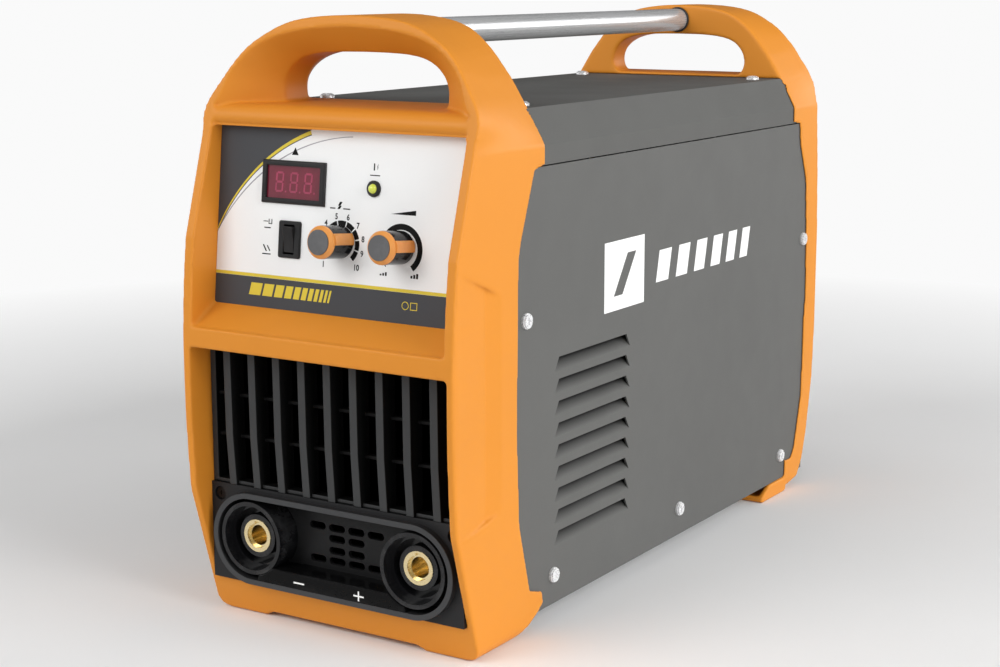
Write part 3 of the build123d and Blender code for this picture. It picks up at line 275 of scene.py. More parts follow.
M = {
    "orange": plastic("orange_moulding", (0.67, 0.245, 0.024), rough=0.46, vary=0.012, spec=0.25),
    "grey": powder("grey_powder_coat", GREY, rough=0.70, spec=0.15),
    # side panel coat, with painted shade in the louvre recesses
    "grey_side": powder("grey_side_coat", GREY, rough=0.62, spec=0.25,
                        louvre_shade_span=(0.0956, 0.0998)),
    "black": plastic("black_plastic", (0.021, 0.021, 0.022), rough=0.42, vary=0.12, spec=0.22),
    "gloss": plastic("gloss_black_plastic", (0.007, 0.007, 0.008), rough=0.14, grain=0.25,
                     vary=0.10, spec=0.35),
    "band": plastic("band_black", (0.0032, 0.0032, 0.0034), rough=0.16, grain=0.25,
                    vary=0.10, spec=0.10),
    "slat": masked_plastic("slat_plastic.001", (0.046, 0.047, 0.048), rough=0.42,
                           rules=SLAT_SHADE_RULES),
    "plate": masked_plastic("socket_plate_plastic", (0.021, 0.021, 0.022), rough=0.40,
                            rules=PLATE_RULES),
    "knob_orange": plastic("knob_orange", (0.70, 0.285, 0.062), rough=0.30, grain=0.5, vary=0.02),
    "knob_grey": plastic("knob_face_grey", (0.095, 0.095, 0.098), rough=0.40, vary=0.05),
    "film": printed("white_panel_film", (0.86, 0.87, 0.87)),
    "film_grey": printed("dark_grey_print", (0.062, 0.064, 0.070)),
    "film_yellow": printed("yellow_print", (0.70, 0.55, 0.060)),
    "film_thin": printed("light_grey_print", (0.34, 0.335, 0.36)),
    "ink": printed("black_ink", (0.004, 0.004, 0.004), rough=0.45, spec=0.12),
    "white_ink": printed("white_print", (0.87, 0.87, 0.86), rough=0.42),
    "chrome": metal("polished_tube", (0.50, 0.505, 0.51), rough=0.28, scale=500.0,
                    stretch=(1, 0.02, 1), amount=0.05, bump=0.01, metallic=0.4),
    "zinc": metal("zinc_screw", (0.92, 0.92, 0.93), rough=0.30, scale=700.0, amount=0.08,
                  metallic=0.6),
    "zinc_sheet": metal("zinc_sheet", (0.50, 0.51, 0.52), rough=0.38, scale=40.0),
    # near black: painted shade of the screw recesses on the socket plate
    "dark_screw": metal("screw_recess_shade", (0.030, 0.030, 0.031), rough=0.42, scale=600.0),
    "steel": metal("plated_wire", (0.45, 0.46, 0.47), rough=0.32, scale=400.0),
    "brass": metal("machined_brass", (0.83, 0.69, 0.40), rough=0.24, scale=900.0,
                   stretch=(1, 0.05, 1), amount=0.10, bump=0.05),
    "alu": metal("extruded_aluminium", (0.66, 0.67, 0.68), rough=0.36, scale=300.0,
                 stretch=(1, 0.03, 1)),
    "copper": metal("bare_copper", (0.82, 0.40, 0.22), rough=0.30, scale=200.0),
    "rubber": plastic("rubber_sheath", (0.016, 0.016, 0.016), rough=0.62, vary=0.15),
    "red": plastic("switch_red", (0.48, 0.015, 0.012), rough=0.22, grain=0.3, vary=0.05),
    "chip": plastic("epoxy_black_and_inlet_shade", (0.014, 0.014, 0.014), rough=0.5, vary=0.15),
    "sleeve": plastic("capacitor_sleeve", (0.02, 0.035, 0.13), rough=0.25, grain=0.3),
    "ferrite": plastic("ferrite", (0.05, 0.05, 0.054), rough=0.6, grain=2.0, vary=0.15),
    "winding": plastic("winding_tape", (0.46, 0.25, 0.05), rough=0.45, grain=1.5, vary=0.15),
    "board": solder_mask(),
    "led": lens("led_lens", (0.56, 0.62, 0.08), glow=0.25),
    "window": lens("display_window", (0.16, 0.010, 0.028)),
    "segment": lens("display_segment", (0.30, 0.030, 0.075), glow=0.12, rough=0.2),
    "segment_off": lens("display_ground", (0.20, 0.014, 0.034), glow=0.10, rough=0.2),
}

PIECES_BY_MATERIAL = {
    "orange": ["front_frame", "rear_frame"],
    "grey": ["top_cover"],
    "grey_side": ["side_panel_left", "side_panel_right"],
    "zinc_sheet": ["base_tray", "rear_panel"],
    "chrome": ["carry_tube"],
    "zinc": ["top_screws", "side_screws_left", "side_screws_right", "earth_nut"],
    "film": ["control_panel"],
    "black": ["mode_rocker", "display_bezel", "rocker_housing", "alarm_led_bezel", "fan_frame",
              "fan_rotor", "power_switch_housing", "cable_gland", "arc_force_potentiometer",
              "current_potentiometer", "negative_socket_nut", "positive_socket_nut"],
    "slat": ["front_grille"],
    "plate": ["socket_plate"],
    # the plate screws are painted near black as the shade of the round recesses they sit in
    "dark_screw": ["plate_screws"],
    "gloss": ["arc_force_knob", "current_knob", "negative_socket_body", "positive_socket_body"],
    "knob_orange": ["arc_force_knob_ring", "current_knob_ring"],
    "knob_grey": ["arc_force_knob_cap", "current_knob_cap"],
    "window": ["display_window"],
    "segment_off": ["display_module"],
    "led": ["alarm_led_lens"],
    "brass": ["negative_socket_contact", "positive_socket_contact", "earth_stud"],
    "steel": ["fan_guard", "board_posts", "board_standoffs"],
    "red": ["power_switch_rocker"],
    "rubber": ["mains_cable"],
    "board": ["main_board", "control_board"],
    "alu": ["heatsink_left", "heatsink_right"],
    # the chips' own black epoxy; on the inlet mesh the near black is painted shade for the
    # interior behind the grille
    "chip": ["power_transistors", "input_rectifier", "inlet_mesh"],
    "ferrite": ["transformer_core"],
    "winding": ["transformer_winding", "output_choke"],
    "sleeve": ["bulk_capacitors"],
    "copper": ["negative_busbar", "positive_busbar"],
}


def paint(obj, material):
    obj.data.materials.clear()
    obj.data.materials.append(material.data)


for key, names in PIECES_BY_MATERIAL.items():
    for name in names:
        paint(pieces[name], M[key])


# ---------------------------------------------------------------------------
# Soft edges on the CAD pieces
# ---------------------------------------------------------------------------
def add_bevel(obj, width, segments, angle):
    """Rounds the edges sharper than angle, in degrees."""
    bevel = obj.modifiers.new("round", "BEVEL")
    bevel.width = width
    bevel.segments = segments
    bevel.limit_method = "ANGLE"
    bevel.angle_limit = math.radians(angle)
    return bevel


def soften(obj, width, segments, angle):
    """Welds the facets, merges flat ones, then rounds what is sharp."""
    weld = obj.modifiers.new("weld", "WELD")
    weld.merge_threshold = 0.00001
    planar = obj.modifiers.new("planar", "DECIMATE")
    planar.decimate_type = "DISSOLVE"
    planar.angle_limit = math.radians(0.8)
    bevel = add_bevel(obj, width, segments, angle)
    bevel.use_clamp_overlap = True
    bevel.harden_normals = False
    bevel.miter_outer = "MITER_ARC"
    normals = obj.modifiers.new("normals", "WEIGHTED_NORMAL")
    normals.keep_sharp = False
    normals.weight = 60


def melt(obj, voxel):
    """Moulded look: an even mesh, then relaxed so that every edge is rounded."""
    even = obj.modifiers.new("even", "REMESH")
    even.mode = "VOXEL"
    even.voxel_size = voxel
    even.adaptivity = 0.0
    even.use_smooth_shade = True
    relax = obj.modifiers.new("relax", "SMOOTH")
    relax.factor = 0.5
    relax.iterations = 7


# piece: edge width in metres, segments, angle limit in degrees
SOFT_EDGES = {
    "top_cover": (0.0004, 2, 20),
    "display_bezel": (0.0004, 2, 30),
    "rocker_housing": (0.0003, 2, 30),
    "mode_rocker": (0.0005, 2, 12),
    "power_switch_rocker": (0.0008, 3, 12),
    "front_grille": (0.0006, 2, 30),
    "socket_plate": (0.0005, 2, 30),
    "power_switch_housing": (0.0006, 2, 30),
    "fan_frame": (0.0008, 2, 30),
}
for name, edge in SOFT_EDGES.items():
    soften(pieces[name], *edge)
melt(pieces["front_frame"], voxel=0.0010)
melt(pieces["rear_frame"], voxel=0.0011)


# ---------------------------------------------------------------------------
# Mesh building: a shape is (vertices, faces); to_space(u, v, d) places a point of a
# face at height d above it
# ---------------------------------------------------------------------------
def add_object(name, data):
    obj = bpy.data.objects.new(name, data)
    bpy.context.scene.collection.objects.link(obj)
    return obj


def new_piece(name, shape, material):
    """A painted piece that rides on the chassis, with its faces turned outwards."""
    verts, faces = shape
    mesh = bpy.data.meshes.new(name)
    mesh.from_pydata([tuple(v) for v in verts], [], faces)
    mesh.update()
    bm = bmesh.new()
    bm.from_mesh(mesh)
    bmesh.ops.recalc_face_normals(bm, faces=bm.faces)
    bm.to_mesh(mesh)
    bm.free()
    obj = add_object(name, mesh)
    paint(obj, material)
    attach(obj, "chassis")
    return obj


def join(shapes):
    verts, faces = [], []
    for shape_verts, shape_faces in shapes:
        start = len(verts)
        verts += shape_verts
        faces += [[i + start for i in face] for face in shape_faces]
    return verts, faces


def walls(ring, offset):
    """Quads between a closed ring of indices and its copy offset further on."""
    following = ring[1:] + ring[:1]
    return [[i, j, j + offset, i + offset] for i, j in zip(ring, following)]


def slab(outlines, to_space, low, high):
    """Closed plates, one per outline, from height low to high."""
    shapes = []
    for outline in outlines:
        n = len(outline)
        verts = [to_space(u, v, d) for d in (low, high) for u, v in outline]
        ring = list(range(n))
        shapes.append((verts, [ring[::-1], list(range(n, 2 * n))] + walls(ring, n)))
    return join(shapes)


def band_slab(outer, inner, to_space, low, high):
    """One closed solid between two matching rows of points."""
    n = len(outer)
    verts = [to_space(u, v, d) for d in (low, high) for row in (outer, inner) for u, v in row]
    # first index of each row
    outer_low, inner_low, outer_high, inner_high = 0, n, 2 * n, 3 * n
    faces = []
    for i in range(n - 1):
        j = i + 1
        faces.append([outer_high + i, outer_high + j, inner_high + j, inner_high + i])
        faces.append([outer_low + i, inner_low + i, inner_low + j, outer_low + j])
        faces.append([outer_low + i, outer_low + j, outer_high + j, outer_high + i])
        faces.append([inner_low + i, inner_high + i, inner_high + j, inner_low + j])
    faces.append([outer_low, outer_high, inner_high, inner_low])
    end = n - 1
    faces.append([outer_low + end, inner_low + end, inner_high + end, outer_high + end])
    return verts, faces


def rect(u0, v0, u1, v1):
    return [(u0, v0), (u1, v0), (u1, v1), (u0, v1)]


def polar(centre, radius, angle):
    """The point at an angle in degrees on a circle."""
    return (centre[0] + radius * math.cos(math.radians(angle)),
            centre[1] + radius * math.sin(math.radians(angle)))


def arc(centre, radius, start, end, steps):
    return [polar(centre, radius, start + (end - start) * i / steps) for i in range(steps + 1)]


def circle_through(a, b, c):
    """Centre and radius of the circle through three points."""
    (ax, ay), (bx, by), (cx, cy) = a, b, c
    a2, b2, c2 = ax * ax + ay * ay, bx * bx + by * by, cx * cx + cy * cy
    d = 2 * (ax * (by - cy) + bx * (cy - ay) + cx * (ay - by))
    x = (a2 * (by - cy) + b2 * (cy - ay) + c2 * (ay - by)) / d
    y = (a2 * (cx - bx) + b2 * (ax - cx) + c2 * (bx - ax)) / d
    return (x, y), math.hypot(ax - x, ay - y)


def arc_between(circle, start, end, steps):
    """The arc of a circle between the directions of two points."""
    (x, y), radius = circle
    a0, a1 = (math.degrees(math.atan2(v - y, u - x)) for u, v in (start, end))
    return arc((x, y), radius, a0, a1, steps)


def inset(row, circle, width_at):
    """The row moved towards the circle's centre; width_at takes 0..1 along the row."""
    x, y = circle[0]
    moved = []
    for i, (u, v) in enumerate(row):
        radius = math.hypot(u - x, v - y)
        scale = (radius - width_at(i / (len(row) - 1))) / radius
        moved.append((x + (u - x) * scale, y + (v - y) * scale))
    return moved


def number(text, size, centre, to_space, height, squeeze, bold):
    """A printed number as a thin solid; squeeze narrows it, bold swells its outline."""
    curve = bpy.data.curves.new("digit", "FONT")
    curve.body = text
    curve.size = size
    curve.align_x = "CENTER"
    curve.align_y = "CENTER"
    curve.resolution_u = 3
    curve.extrude = 0.03
    curve.offset = bold
    obj = add_object("digit", curve)
    depsgraph = bpy.context.evaluated_depsgraph_get()
    mesh = bpy.data.meshes.new_from_object(obj.evaluated_get(depsgraph))
    verts = [to_space(centre[0] + x * squeeze, centre[1] + y, height + z)
             for x, y, z in (v.co for v in mesh.vertices)]
    faces = [list(p.vertices) for p in mesh.polygons]
    bpy.data.objects.remove(obj)
    bpy.data.curves.remove(curve)
    bpy.data.meshes.remove(mesh)
    return verts, faces


# ---------------------------------------------------------------------------
# Control panel: a leaning plane, u to the right, v up it, d out of its face
# ---------------------------------------------------------------------------
LEAN = math.radians(6.17)
PANEL_ORIGIN = Vector((0, -260, 256))
PANEL_U = Vector((1, 0, 0))
PANEL_V = Vector((0, math.sin(LEAN), math.cos(LEAN)))
PANEL_OUT = Vector((0, -math.cos(LEAN), math.sin(LEAN)))


def on_panel(u, v, d):
    return (PANEL_ORIGIN + PANEL_U * u + PANEL_V * v + PANEL_OUT * d) * MM


HALF_WIDTH = 94.25
BOTTOM, TOP = -56.4, 57.0
FILM_BACK, FILM_FACE = 0.005, 0.22
PRINT_BACK, PRINT_FACE = 0.225, 0.30
INK_FACE = 0.29
LAYER = 0.03                      # step between overlapping prints
STRIP_PRINT = (PRINT_FACE + 0.01, PRINT_FACE + 0.07)

DISPLAY_U, DISPLAY_V = -35.2, 23.8
ARC_FORCE_U, CURRENT_U = 2.3, 46.6
KNOB_V, KNOB_HALF = -9.6, 4.4
# openings in the film: centre u, centre v, half width, half height
OPENINGS = [
    (DISPLAY_U, DISPLAY_V, 22.2, 11.6),
    (-36.4, -11, 6.8, 9.6),
    (25, 23.6, 4.2, 4.2),
    (ARC_FORCE_U, KNOB_V, KNOB_HALF, KNOB_HALF),
    (CURRENT_U, KNOB_V, KNOB_HALF, KNOB_HALF),
]


def film():
    """The white sheet: a grid along the edges of the openings, with those left out."""
    us = sorted({-HALF_WIDTH, HALF_WIDTH}
                | {u + side * half for u, _, half, _ in OPENINGS for side in (-1, 1)})
    vs = sorted({BOTTOM, TOP}
                | {v + side * half for _, v, _, half in OPENINGS for side in (-1, 1)})
    verts, faces, index = [], [], {}

    def vertex(point, d):
        u, v = point
        key = (round(u, 4), round(v, 4), d)
        if key not in index:
            index[key] = len(verts)
            verts.append(on_panel(u, v, d))
        return index[key]

    solid = set()
    for i in range(len(us) - 1):
        for j in range(len(vs) - 1):
            u, v = (us[i] + us[i + 1]) / 2, (vs[j] + vs[j + 1]) / 2
            if not any(abs(u - hole_u) < half_u and abs(v - hole_v) < half_v
                       for hole_u, hole_v, half_u, half_v in OPENINGS):
                solid.add((i, j))
    for i, j in sorted(solid):
        cell = rect(us[i], vs[j], us[i + 1], vs[j + 1])
        faces.append([vertex(p, FILM_FACE) for p in cell])
        faces.append([vertex(p, FILM_BACK) for p in cell][::-1])
        # a wall wherever the neighbour below, right, above or left is missing
        for k, (di, dj) in enumerate(((0, -1), (1, 0), (0, 1), (-1, 0))):
            if (i + di, j + dj) not in solid:
                a, b = cell[k], cell[(k + 1) % 4]
                faces.append([vertex(a, FILM_BACK), vertex(b, FILM_BACK),
                              vertex(b, FILM_FACE), vertex(a, FILM_FACE)])
    return verts, faces


def clip(row):
    """The row held within the panel."""
    return [(min(max(u, -HALF_WIDTH), HALF_WIDTH), min(max(v, BOTTOM), TOP)) for u, v in row]


def panel_plates(name, outlines, material, low=PRINT_BACK, high=PRINT_FACE):
    new_piece(name, slab(outlines, on_panel, low, high), material)


def panel_band(name, outer, inner, material, high=PRINT_FACE):
    new_piece(name, band_slab(outer, inner, on_panel, PRINT_BACK, high), material)


def corner_prints():
    """Dark upper left corner, bounded by a yellow arc, and a thin arc below it."""
    start, end = (-94.5, -7.8), (-25.0, 55.5)
    circle = circle_through(start, (-57.7, 37.5), end)
    edge = clip(arc_between(circle, start, end, 40))
    panel_plates("panel_dark_corner",
                 [[(-HALF_WIDTH, edge[0][1])] + edge
                  + [(edge[-1][0] + 2.4, TOP), (-HALF_WIDTH, TOP)]], M["film_grey"])

    # the yellow band widens towards its upper end; a dark hairline follows below it
    outer = arc_between(circle, start, (-24.6, TOP), 44)
    inner = inset(outer, circle, lambda t: 0.7 + 1.6 * t ** 1.2)
    hairline = inset(inner, circle, lambda t: 0.55)
    panel_band("panel_yellow_arc", clip(outer), clip(inner), M["film_yellow"],
               high=PRINT_FACE + LAYER)
    panel_band("panel_dark_hairline", clip(inner), clip(hairline), M["film_grey"])

    # the thin arc is widest four tenths of the way up
    start, end = (-95.0, -9.9), (7.7, 53.7)
    circle = circle_through(start, (-44.2, 39.2), end)
    outer = arc_between(circle, start, end, 60)
    inner = inset(outer, circle, lambda t: 0.80 * (1.0 - 0.6 * abs(t - 0.4)))
    panel_band("panel_thin_arc", clip(outer), clip(inner), M["film_thin"],
               high=PRINT_FACE - LAYER)


# slanted bars from left to right: width, gap after it
BARS = [(9.0, 1.6), (7.6, 1.6), (6.4, 1.6), (5.4, 1.5), (4.5, 1.5), (3.8, 1.4),
        (3.2, 1.4), (2.7, 1.3), (2.2, 1.3), (1.8, 1.2), (1.4, 1.2)]


def lower_strip():
    """Dark strip along the foot with its yellow line, bars and outline marks."""
    panel_plates("panel_dark_strip", [rect(-HALF_WIDTH, BOTTOM, HALF_WIDTH, -36.0)],
                 M["film_grey"])
    panel_plates("panel_yellow_line", [rect(-HALF_WIDTH, -35.9, HALF_WIDTH, -33.9)],
                 M["film_yellow"], high=PRINT_FACE + LAYER)

    bottom, top, slant = -47.2, -39.6, 1.8
    bars = []
    u = -67.0
    for width, gap in BARS:
        bars.append([(u, bottom), (u + width, bottom), (u + width + slant, top), (u + slant, top)])
        u += width + gap
    panel_plates("panel_bars", bars, M["film_yellow"], *STRIP_PRINT)

    line = 0.45
    centre, radius = (51.6, -43.6), 2.5
    left, foot, right, head = 55.2, -45.9, 60.2, -41.3
    outer = rect(left, foot, right, head)
    inner = rect(left + line, foot + line, right - line, head - line)
    new_piece("panel_strip_marks", join([
        band_slab(arc(centre, radius, 0, 360, 28), arc(centre, radius - line, 0, 360, 28),
                  on_panel, *STRIP_PRINT),
        band_slab(outer + outer[:1], inner + inner[:1], on_panel, *STRIP_PRINT),
    ]), M["film_yellow"])


# dial angles in degrees, counted down clockwise from the first mark
DIAL_START, DIAL_STEP = 226.5, 30.5

# marks below the current scale: left, right, top
END_MARKS = [(32.1, 33.3, -26.2), (34.0, 35.2, -25.6), (35.9, 37.1, -25.0),
             (54.3, 55.7, -25.6), (56.3, 57.7, -24.9), (58.3, 59.7, -24.2)]


def dials():
    """Nine equal blocks and ten numbers on the left, one growing band on the right."""
    centre, gap = (ARC_FORCE_U, -10.5), 1.9
    blocks = []
    for k in range(9):
        start = DIAL_START - DIAL_STEP * k
        end = start - DIAL_STEP
        outer, inner = (arc(centre, r, start - gap, end + gap, 10) for r in (13.8, 10.6))
        blocks.append(band_slab(outer, inner, on_panel, PRINT_BACK, INK_FACE))
    new_piece("arc_force_scale", join(blocks), M["ink"])

    # the band reaches its full width after 26 of its 72 steps
    centre, radius = (CURRENT_U, -10.9), 15.3
    outer, inner = [], []
    for i in range(73):
        angle = DIAL_START - (DIAL_START + 52.0) * i / 72
        width = 0.5 + 3.1 * min(1.0, i / 26.0)
        outer.append(polar(centre, radius, angle))
        inner.append(polar(centre, radius - width, angle))
    panel_band("current_scale", outer, inner, M["ink"], high=INK_FACE)

    # the first and last numbers stand further out
    numbers = []
    for k in range(10):
        radius = 18.2 if k in (0, 9) else 16.7
        place = polar((ARC_FORCE_U, -10.8), radius, DIAL_START - DIAL_STEP * k)
        numbers.append(number(str(k + 1), 5.0, place, on_panel, PRINT_BACK,
                              squeeze=0.86, bold=0.13))
    new_piece("arc_force_numbers", join(numbers), M["ink"])
    panel_plates("current_end_marks",
                 [rect(left, -27.2, right, top) for left, right, top in END_MARKS],
                 M["ink"], high=INK_FACE)


PICTOGRAMS = [
    # above the left dial: a zigzag between two bars
    [(-1.5, 10.0), (0.3, 10.0), (1.6, 12.0), (0.6, 12.0),
     (2.2, 14.4), (0.2, 14.4), (-1.1, 12.0), (-0.1, 12.0)],
    rect(3.0, 10.0, 8.0, 10.7),
    [(-3.0, 10.0), (-3.0, 10.7), (-7.0, 10.7), (-7.0, 10.0)],
    # above the right dial: a wedge
    [(38.0, 9.6), (56.0, 9.6), (56.0, 12.6)],
    # above the alarm lamp: an upright bar, a small zigzag and a line
    rect(24.0, 34.4, 24.9, 38.6),
    [(26.6, 34.6), (27.3, 36.4), (26.7, 36.4), (27.5, 38.4), (26.5, 36.9), (27.0, 36.9)],
    rect(21.5, 31.2, 28.8, 31.8),
    # left of the rocker, upper: a dash, an open cup and a line
    rect(-57.8, -1.2, -54.2, -0.7),
    [(-53.8, -2.6), (-51.0, -2.6), (-51.0, 0.6), (-51.6, 0.6),
     (-51.6, -2.1), (-53.2, -2.1), (-53.2, 0.6), (-53.8, 0.6)],
    rect(-57.0, -5.2, -52.0, -4.5),
    # left of the rocker, lower: two slanted strokes and a line
    [(-57.6, -15.6), (-56.8, -15.2), (-54.2, -19.2), (-55.0, -19.6)],
    [(-54.4, -16.0), (-53.8, -15.6), (-51.6, -18.9), (-52.2, -19.3)],
    rect(-57.8, -21.4, -51.2, -20.7),
]


def display_figures():
    """Three leaning seven-segment figures, each with a square dot at its lower right."""
    half_width, half_height, stroke = 6.2 / 2, 12.6 / 2, 1.25
    lean, pitch, dot_gap, dot = 0.06, 11.0, 1.2, 1.1
    outlines = []
    for k in (-1, 0, 1):
        centre = DISPLAY_U + k * pitch
        segments = [rect(-half_width + 0.9, y, half_width - 0.9, y + stroke)
                    for y in (-half_height, -stroke / 2, half_height - stroke)]
        for x in (-half_width, half_width - stroke):
            segments.append(rect(x, 0.7, x + stroke, half_height - 0.8))
            segments.append(rect(x, -half_height + 0.8, x + stroke, -0.7))
        outlines += [[(centre + x + lean * y, DISPLAY_V + y) for x, y in segment]
                     for segment in segments]
        u, v = centre + half_width + dot_gap, DISPLAY_V - half_height
        outlines.append(rect(u, v, u + dot, v + dot))
    new_piece("display_figures", slab(outlines, on_panel, 0.62, 0.68), M["segment"])


new_piece("panel_film", film(), M["film"])
corner_prints()
lower_strip()
dials()
panel_plates("display_unit_mark", [[(-38.0, 40.6), (-32.8, 40.6), (-35.4, 45.2)]], M["ink"],
             high=INK_FACE)
panel_plates("panel_pictograms", PICTOGRAMS, M["ink"], high=INK_FACE)
display_figures()


# ---------------------------------------------------------------------------
# Socket plate: u is x, v is z, d comes forward
# ---------------------------------------------------------------------------
def upright_face(y):
    return lambda u, v, d: Vector((u, y - d, v)) * MM


def socket_band():
    """Glossy band between the socket barrels, its ends hollowed to follow them."""
    socket_x, socket_z, clearance = 62.1, 54.5, 24.0
    foot, bend, top = 27.7, 31.2, 37.8
    hollow = []
    for i in range(11):
        z = bend + (top - bend) * i / 10
        hollow.append((socket_x - math.sqrt(clearance ** 2 - (socket_z - z) ** 2), z))
    outline = [(-57.0, foot), (57.0, foot)] + hollow + [(-x, z) for x, z in reversed(hollow)]
    band = new_piece("socket_band", slab([outline], upright_face(-259.0), 0.0, 17.75),
                     M["band"])
    add_bevel(band, width=0.0008, segments=3, angle=40)


MINUS = rect(-27.6, 31.3, -19.4, 32.3)
PLUS = [(18.8, 31.3), (22.1, 31.3), (22.1, 28.7), (23.1, 28.7), (23.1, 31.3), (26.6, 31.3),
        (26.6, 32.3), (23.1, 32.3), (23.1, 35.0), (22.1, 35.0), (22.1, 32.3), (18.8, 32.3)]

socket_band()
for name, outline in (("minus_mark", MINUS), ("plus_mark", PLUS)):
    new_piece(name, slab([outline], upright_face(-276.77), 0.02, 0.12), M["white_ink"])


# ---------------------------------------------------------------------------
# Side panels: u is y on the right side, turned about MIDDLE_Y on the left; v is z
# ---------------------------------------------------------------------------
SIDE_X, MIDDLE_Y = 100.02, -8.0
SIDE_PRINT = 0.06
MARK = rect(-111.4, 188.6, -57.2, 234.4)
MARK_SLOT = [(-99.0, 198.0), (-87.0, 198.0), (-68.5, 225.0), (-80.5, 225.0)]


def on_side(side):
    return lambda u, v, d: Vector((side * (SIDE_X + d),
                                   u if side > 0 else 2 * MIDDLE_Y - u, v)) * MM


def slotted_mark(to_space):
    """A white rectangle with one slanted slot cut through it."""
    bm = bmesh.new()
    edges = []
    for outline in (MARK, MARK_SLOT):
        ring = [bm.verts.new((u, v, 0)) for u, v in outline]
        edges += [bm.edges.new((a, b)) for a, b in zip(ring, ring[1:] + ring[:1])]
    bmesh.ops.triangle_fill(bm, use_beauty=True, edges=edges)
    bm.verts.index_update()
    points = [(v.co.x, v.co.y) for v in bm.verts]
    triangles = [[v.index for v in f.verts] for f in bm.faces]
    bm.free()
    n = len(points)
    verts = [to_space(u, v, d) for d in (0.0, SIDE_PRINT) for u, v in points]
    faces = [[i + n for i in t] for t in triangles] + [t[::-1] for t in triangles]
    return verts, faces + walls([0, 1, 2, 3], n) + walls([4, 5, 6, 7], n)


def slanted_blocks():
    """Six blocks in a row, each narrower than the last."""
    bottom, height, slant, gap = 199.2, 21.5, 5.0, 4.4
    blocks = []
    u = -40.0
    for k in range(6):
        width = 25.0 - 1.5 * k
        end = u + width * 0.72
        blocks.append([(u, bottom), (end, bottom),
                       (end + slant, bottom + height), (u + slant, bottom + height)])
        u += width + gap
    return blocks


for side, name in ((1, "right"), (-1, "left")):
    to_space = on_side(side)
    new_piece("side_mark_" + name, slotted_mark(to_space), M["white_ink"])
    new_piece("side_chevrons_" + name, slab(slanted_blocks(), to_space, 0.0, SIDE_PRINT),
              M["white_ink"])


# ---------------------------------------------------------------------------
# Black ring where the tube meets the rear arch: a painted shadow for the gap around the tube
# ---------------------------------------------------------------------------
def gap_shadow_ring():
    """A black torus around the tube, whose axis runs along y, standing in as painted shadow for
    the gap.
    """
    y, z = 182.6, 369.0
    ring_radius, cord_radius = 9.0, 0.75
    around, section = 40, 12
    verts, faces = [], []
    for i in range(around):
        a = 2 * math.pi * i / around
        for j in range(section):
            b = 2 * math.pi * j / section
            radius = ring_radius + cord_radius * math.cos(b)
            verts.append(Vector((radius * math.cos(a), y + cord_radius * math.sin(b),
                                 z + radius * math.sin(a))) * MM)
    for i in range(around):
        here, there = i * section, (i + 1) % around * section
        for j in range(section):
            k = (j + 1) % section
            faces.append([here + j, there + j, there + k, here + k])
    return verts, faces


# a black ring put in as the painted shadow of the gap between tube and arch
shadow_ring_piece = new_piece("tube_gap_shadow_rear", gap_shadow_ring(), M["rubber"])
for face in shadow_ring_piece.data.polygons:
    face.use_smooth = True


# ---------------------------------------------------------------------------
# Floor, lights, world and camera
# ---------------------------------------------------------------------------
BACKDROP = (0.955, 0.955, 0.955, 1)


def floor_material():
    """Pale floor that fades with distance into the flat backdrop colour."""
    m = Material("pale_floor")
    m.set(Base_Color=m.mix(m.spread(m.noise(3.0)), (0.83, 0.83, 0.83), (0.86, 0.86, 0.86)),
          Roughness=0.8)
    m.bump(m.noise(400.0), strength=0.02, distance=0.0005)
    # the glow is weaker for everything but the camera
    camera_ray = add_node(m.tree, "ShaderNodeLightPath").outputs["Is Camera Ray"]
    glow = add_node(m.tree, "ShaderNodeEmission", {
        "Color": BACKDROP, "Strength": m.ramp(camera_ray, 0.0, 1.0, low=0.42, high=1.0)})
    distance = add_node(m.tree, "ShaderNodeVectorMath", {0: m.place}, operation="LENGTH")
    fade = add_node(m.tree, "ShaderNodeMixShader", {
        0: m.ramp(distance.outputs["Value"], 0.55, 1.25),
        1: m.shader.outputs[0], 2: glow.outputs[0]})
    feed(m.tree, m.tree.nodes["Material Output"].inputs["Surface"], fade.outputs[0])
    return m


def add_floor():
    half, z = 40, -0.0004
    mesh = bpy.data.meshes.new("floor")
    mesh.from_pydata([(x, y, z) for x, y in rect(-half, -half, half, half)], [], [(0, 1, 2, 3)])
    floor = add_object("floor", mesh)
    paint(floor, floor_material())


def add_area_light(name, place, target, size, power):
    """A square area light aimed at the target."""
    light = bpy.data.lights.new(name, "AREA")
    light.energy = power
    light.shape = "RECTANGLE"
    light.size = size
    light.size_y = size
    obj = add_object(name, light)
    obj.location = place
    aim = Vector(target) - Vector(place)
    obj.rotation_euler = aim.to_track_quat("-Z", "Y").to_euler()


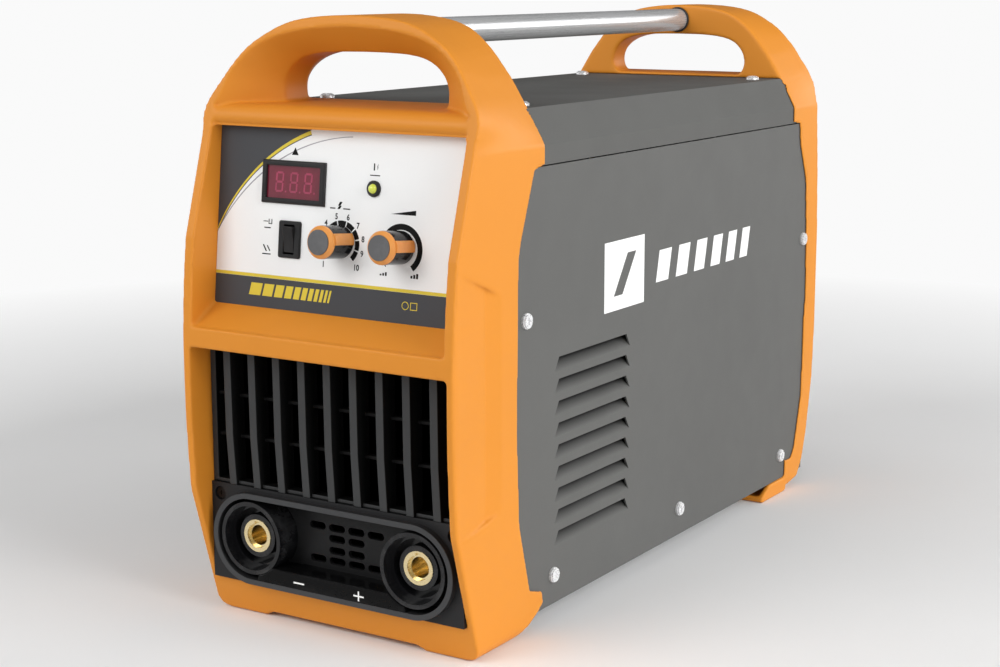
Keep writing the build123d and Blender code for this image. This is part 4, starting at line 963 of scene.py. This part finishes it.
def add_world():
    """Light strongest from the front and low down; the camera sees the backdrop."""
    world = bpy.data.worlds.new("studio")
    world.use_nodes = True
    tree = world.node_tree
    direction = add_node(tree, "ShaderNodeTexCoord").outputs["Generated"]
    axes = add_node(tree, "ShaderNodeSeparateXYZ", {0: direction}).outputs
    front_to_back = map_range(tree, axes[1], -0.5, 0.7, low=0.66, high=0.14)
    low_to_high = map_range(tree, axes[2], 0.1, 0.9, low=1.0, high=0.45)
    light = tree.nodes["Background"]
    feed(tree, light.inputs["Color"], (1, 1, 1, 1))
    feed(tree, light.inputs["Strength"], multiply(tree, front_to_back, low_to_high))
    seen = add_node(tree, "ShaderNodeBackground", {"Color": BACKDROP})
    ray = add_node(tree, "ShaderNodeLightPath")
    choice = add_node(tree, "ShaderNodeMixShader", {
        0: ray.outputs["Is Camera Ray"], 1: light.outputs[0], 2: seen.outputs[0]})
    feed(tree, tree.nodes["World Output"].inputs["Surface"], choice.outputs[0])
    bpy.context.scene.world = world


def add_camera():
    azimuth, elevation, roll = (math.radians(a) for a in (32.348, 10.941, -0.102))
    place = Vector((673.563, -1142.774, 403.707)) * MM
    back = Vector((math.sin(azimuth) * math.cos(elevation),
                   -math.cos(azimuth) * math.cos(elevation), math.sin(elevation)))
    right = Vector((math.cos(azimuth), math.sin(azimuth), 0))
    turn = Matrix((right, back.cross(right), back)).transposed() @ Matrix.Rotation(roll, 3, "Z")
    data = bpy.data.cameras.new("camera")
    data.sensor_width = 36.0
    data.lens = 66.7602
    data.clip_start = 0.05
    data.clip_end = 60
    camera = add_object("camera", data)
    camera.matrix_world = Matrix.Translation(place) @ turn.to_4x4()
    bpy.context.scene.camera = camera


# name, place, target, size in metres, power in watts
LIGHTS = [
    ("key", (-0.8, -2.1, 1.55), (0, -0.1, 0.2), 1.4, 28),
    ("side", (2.4, -0.3, 1.0), (0, 0, 0.2), 1.8, 58),
    ("top", (0.2, -0.2, 2.4), (0, 0, 0.2), 1.6, 5),
    ("back", (1.5, 2.2, 0.9), (0, 0, 0.2), 1.2, 22),
    ("left", (-2.4, -0.7, 0.9), (0, 0, 0.2), 1.4, 14),
]

add_floor()
for light in LIGHTS:
    add_area_light(*light)
add_world()
bpy.context.scene.view_settings.view_transform = "Standard"
bpy.context.scene.view_settings.look = "None"
add_camera()

bpy.context.view_layer.update()
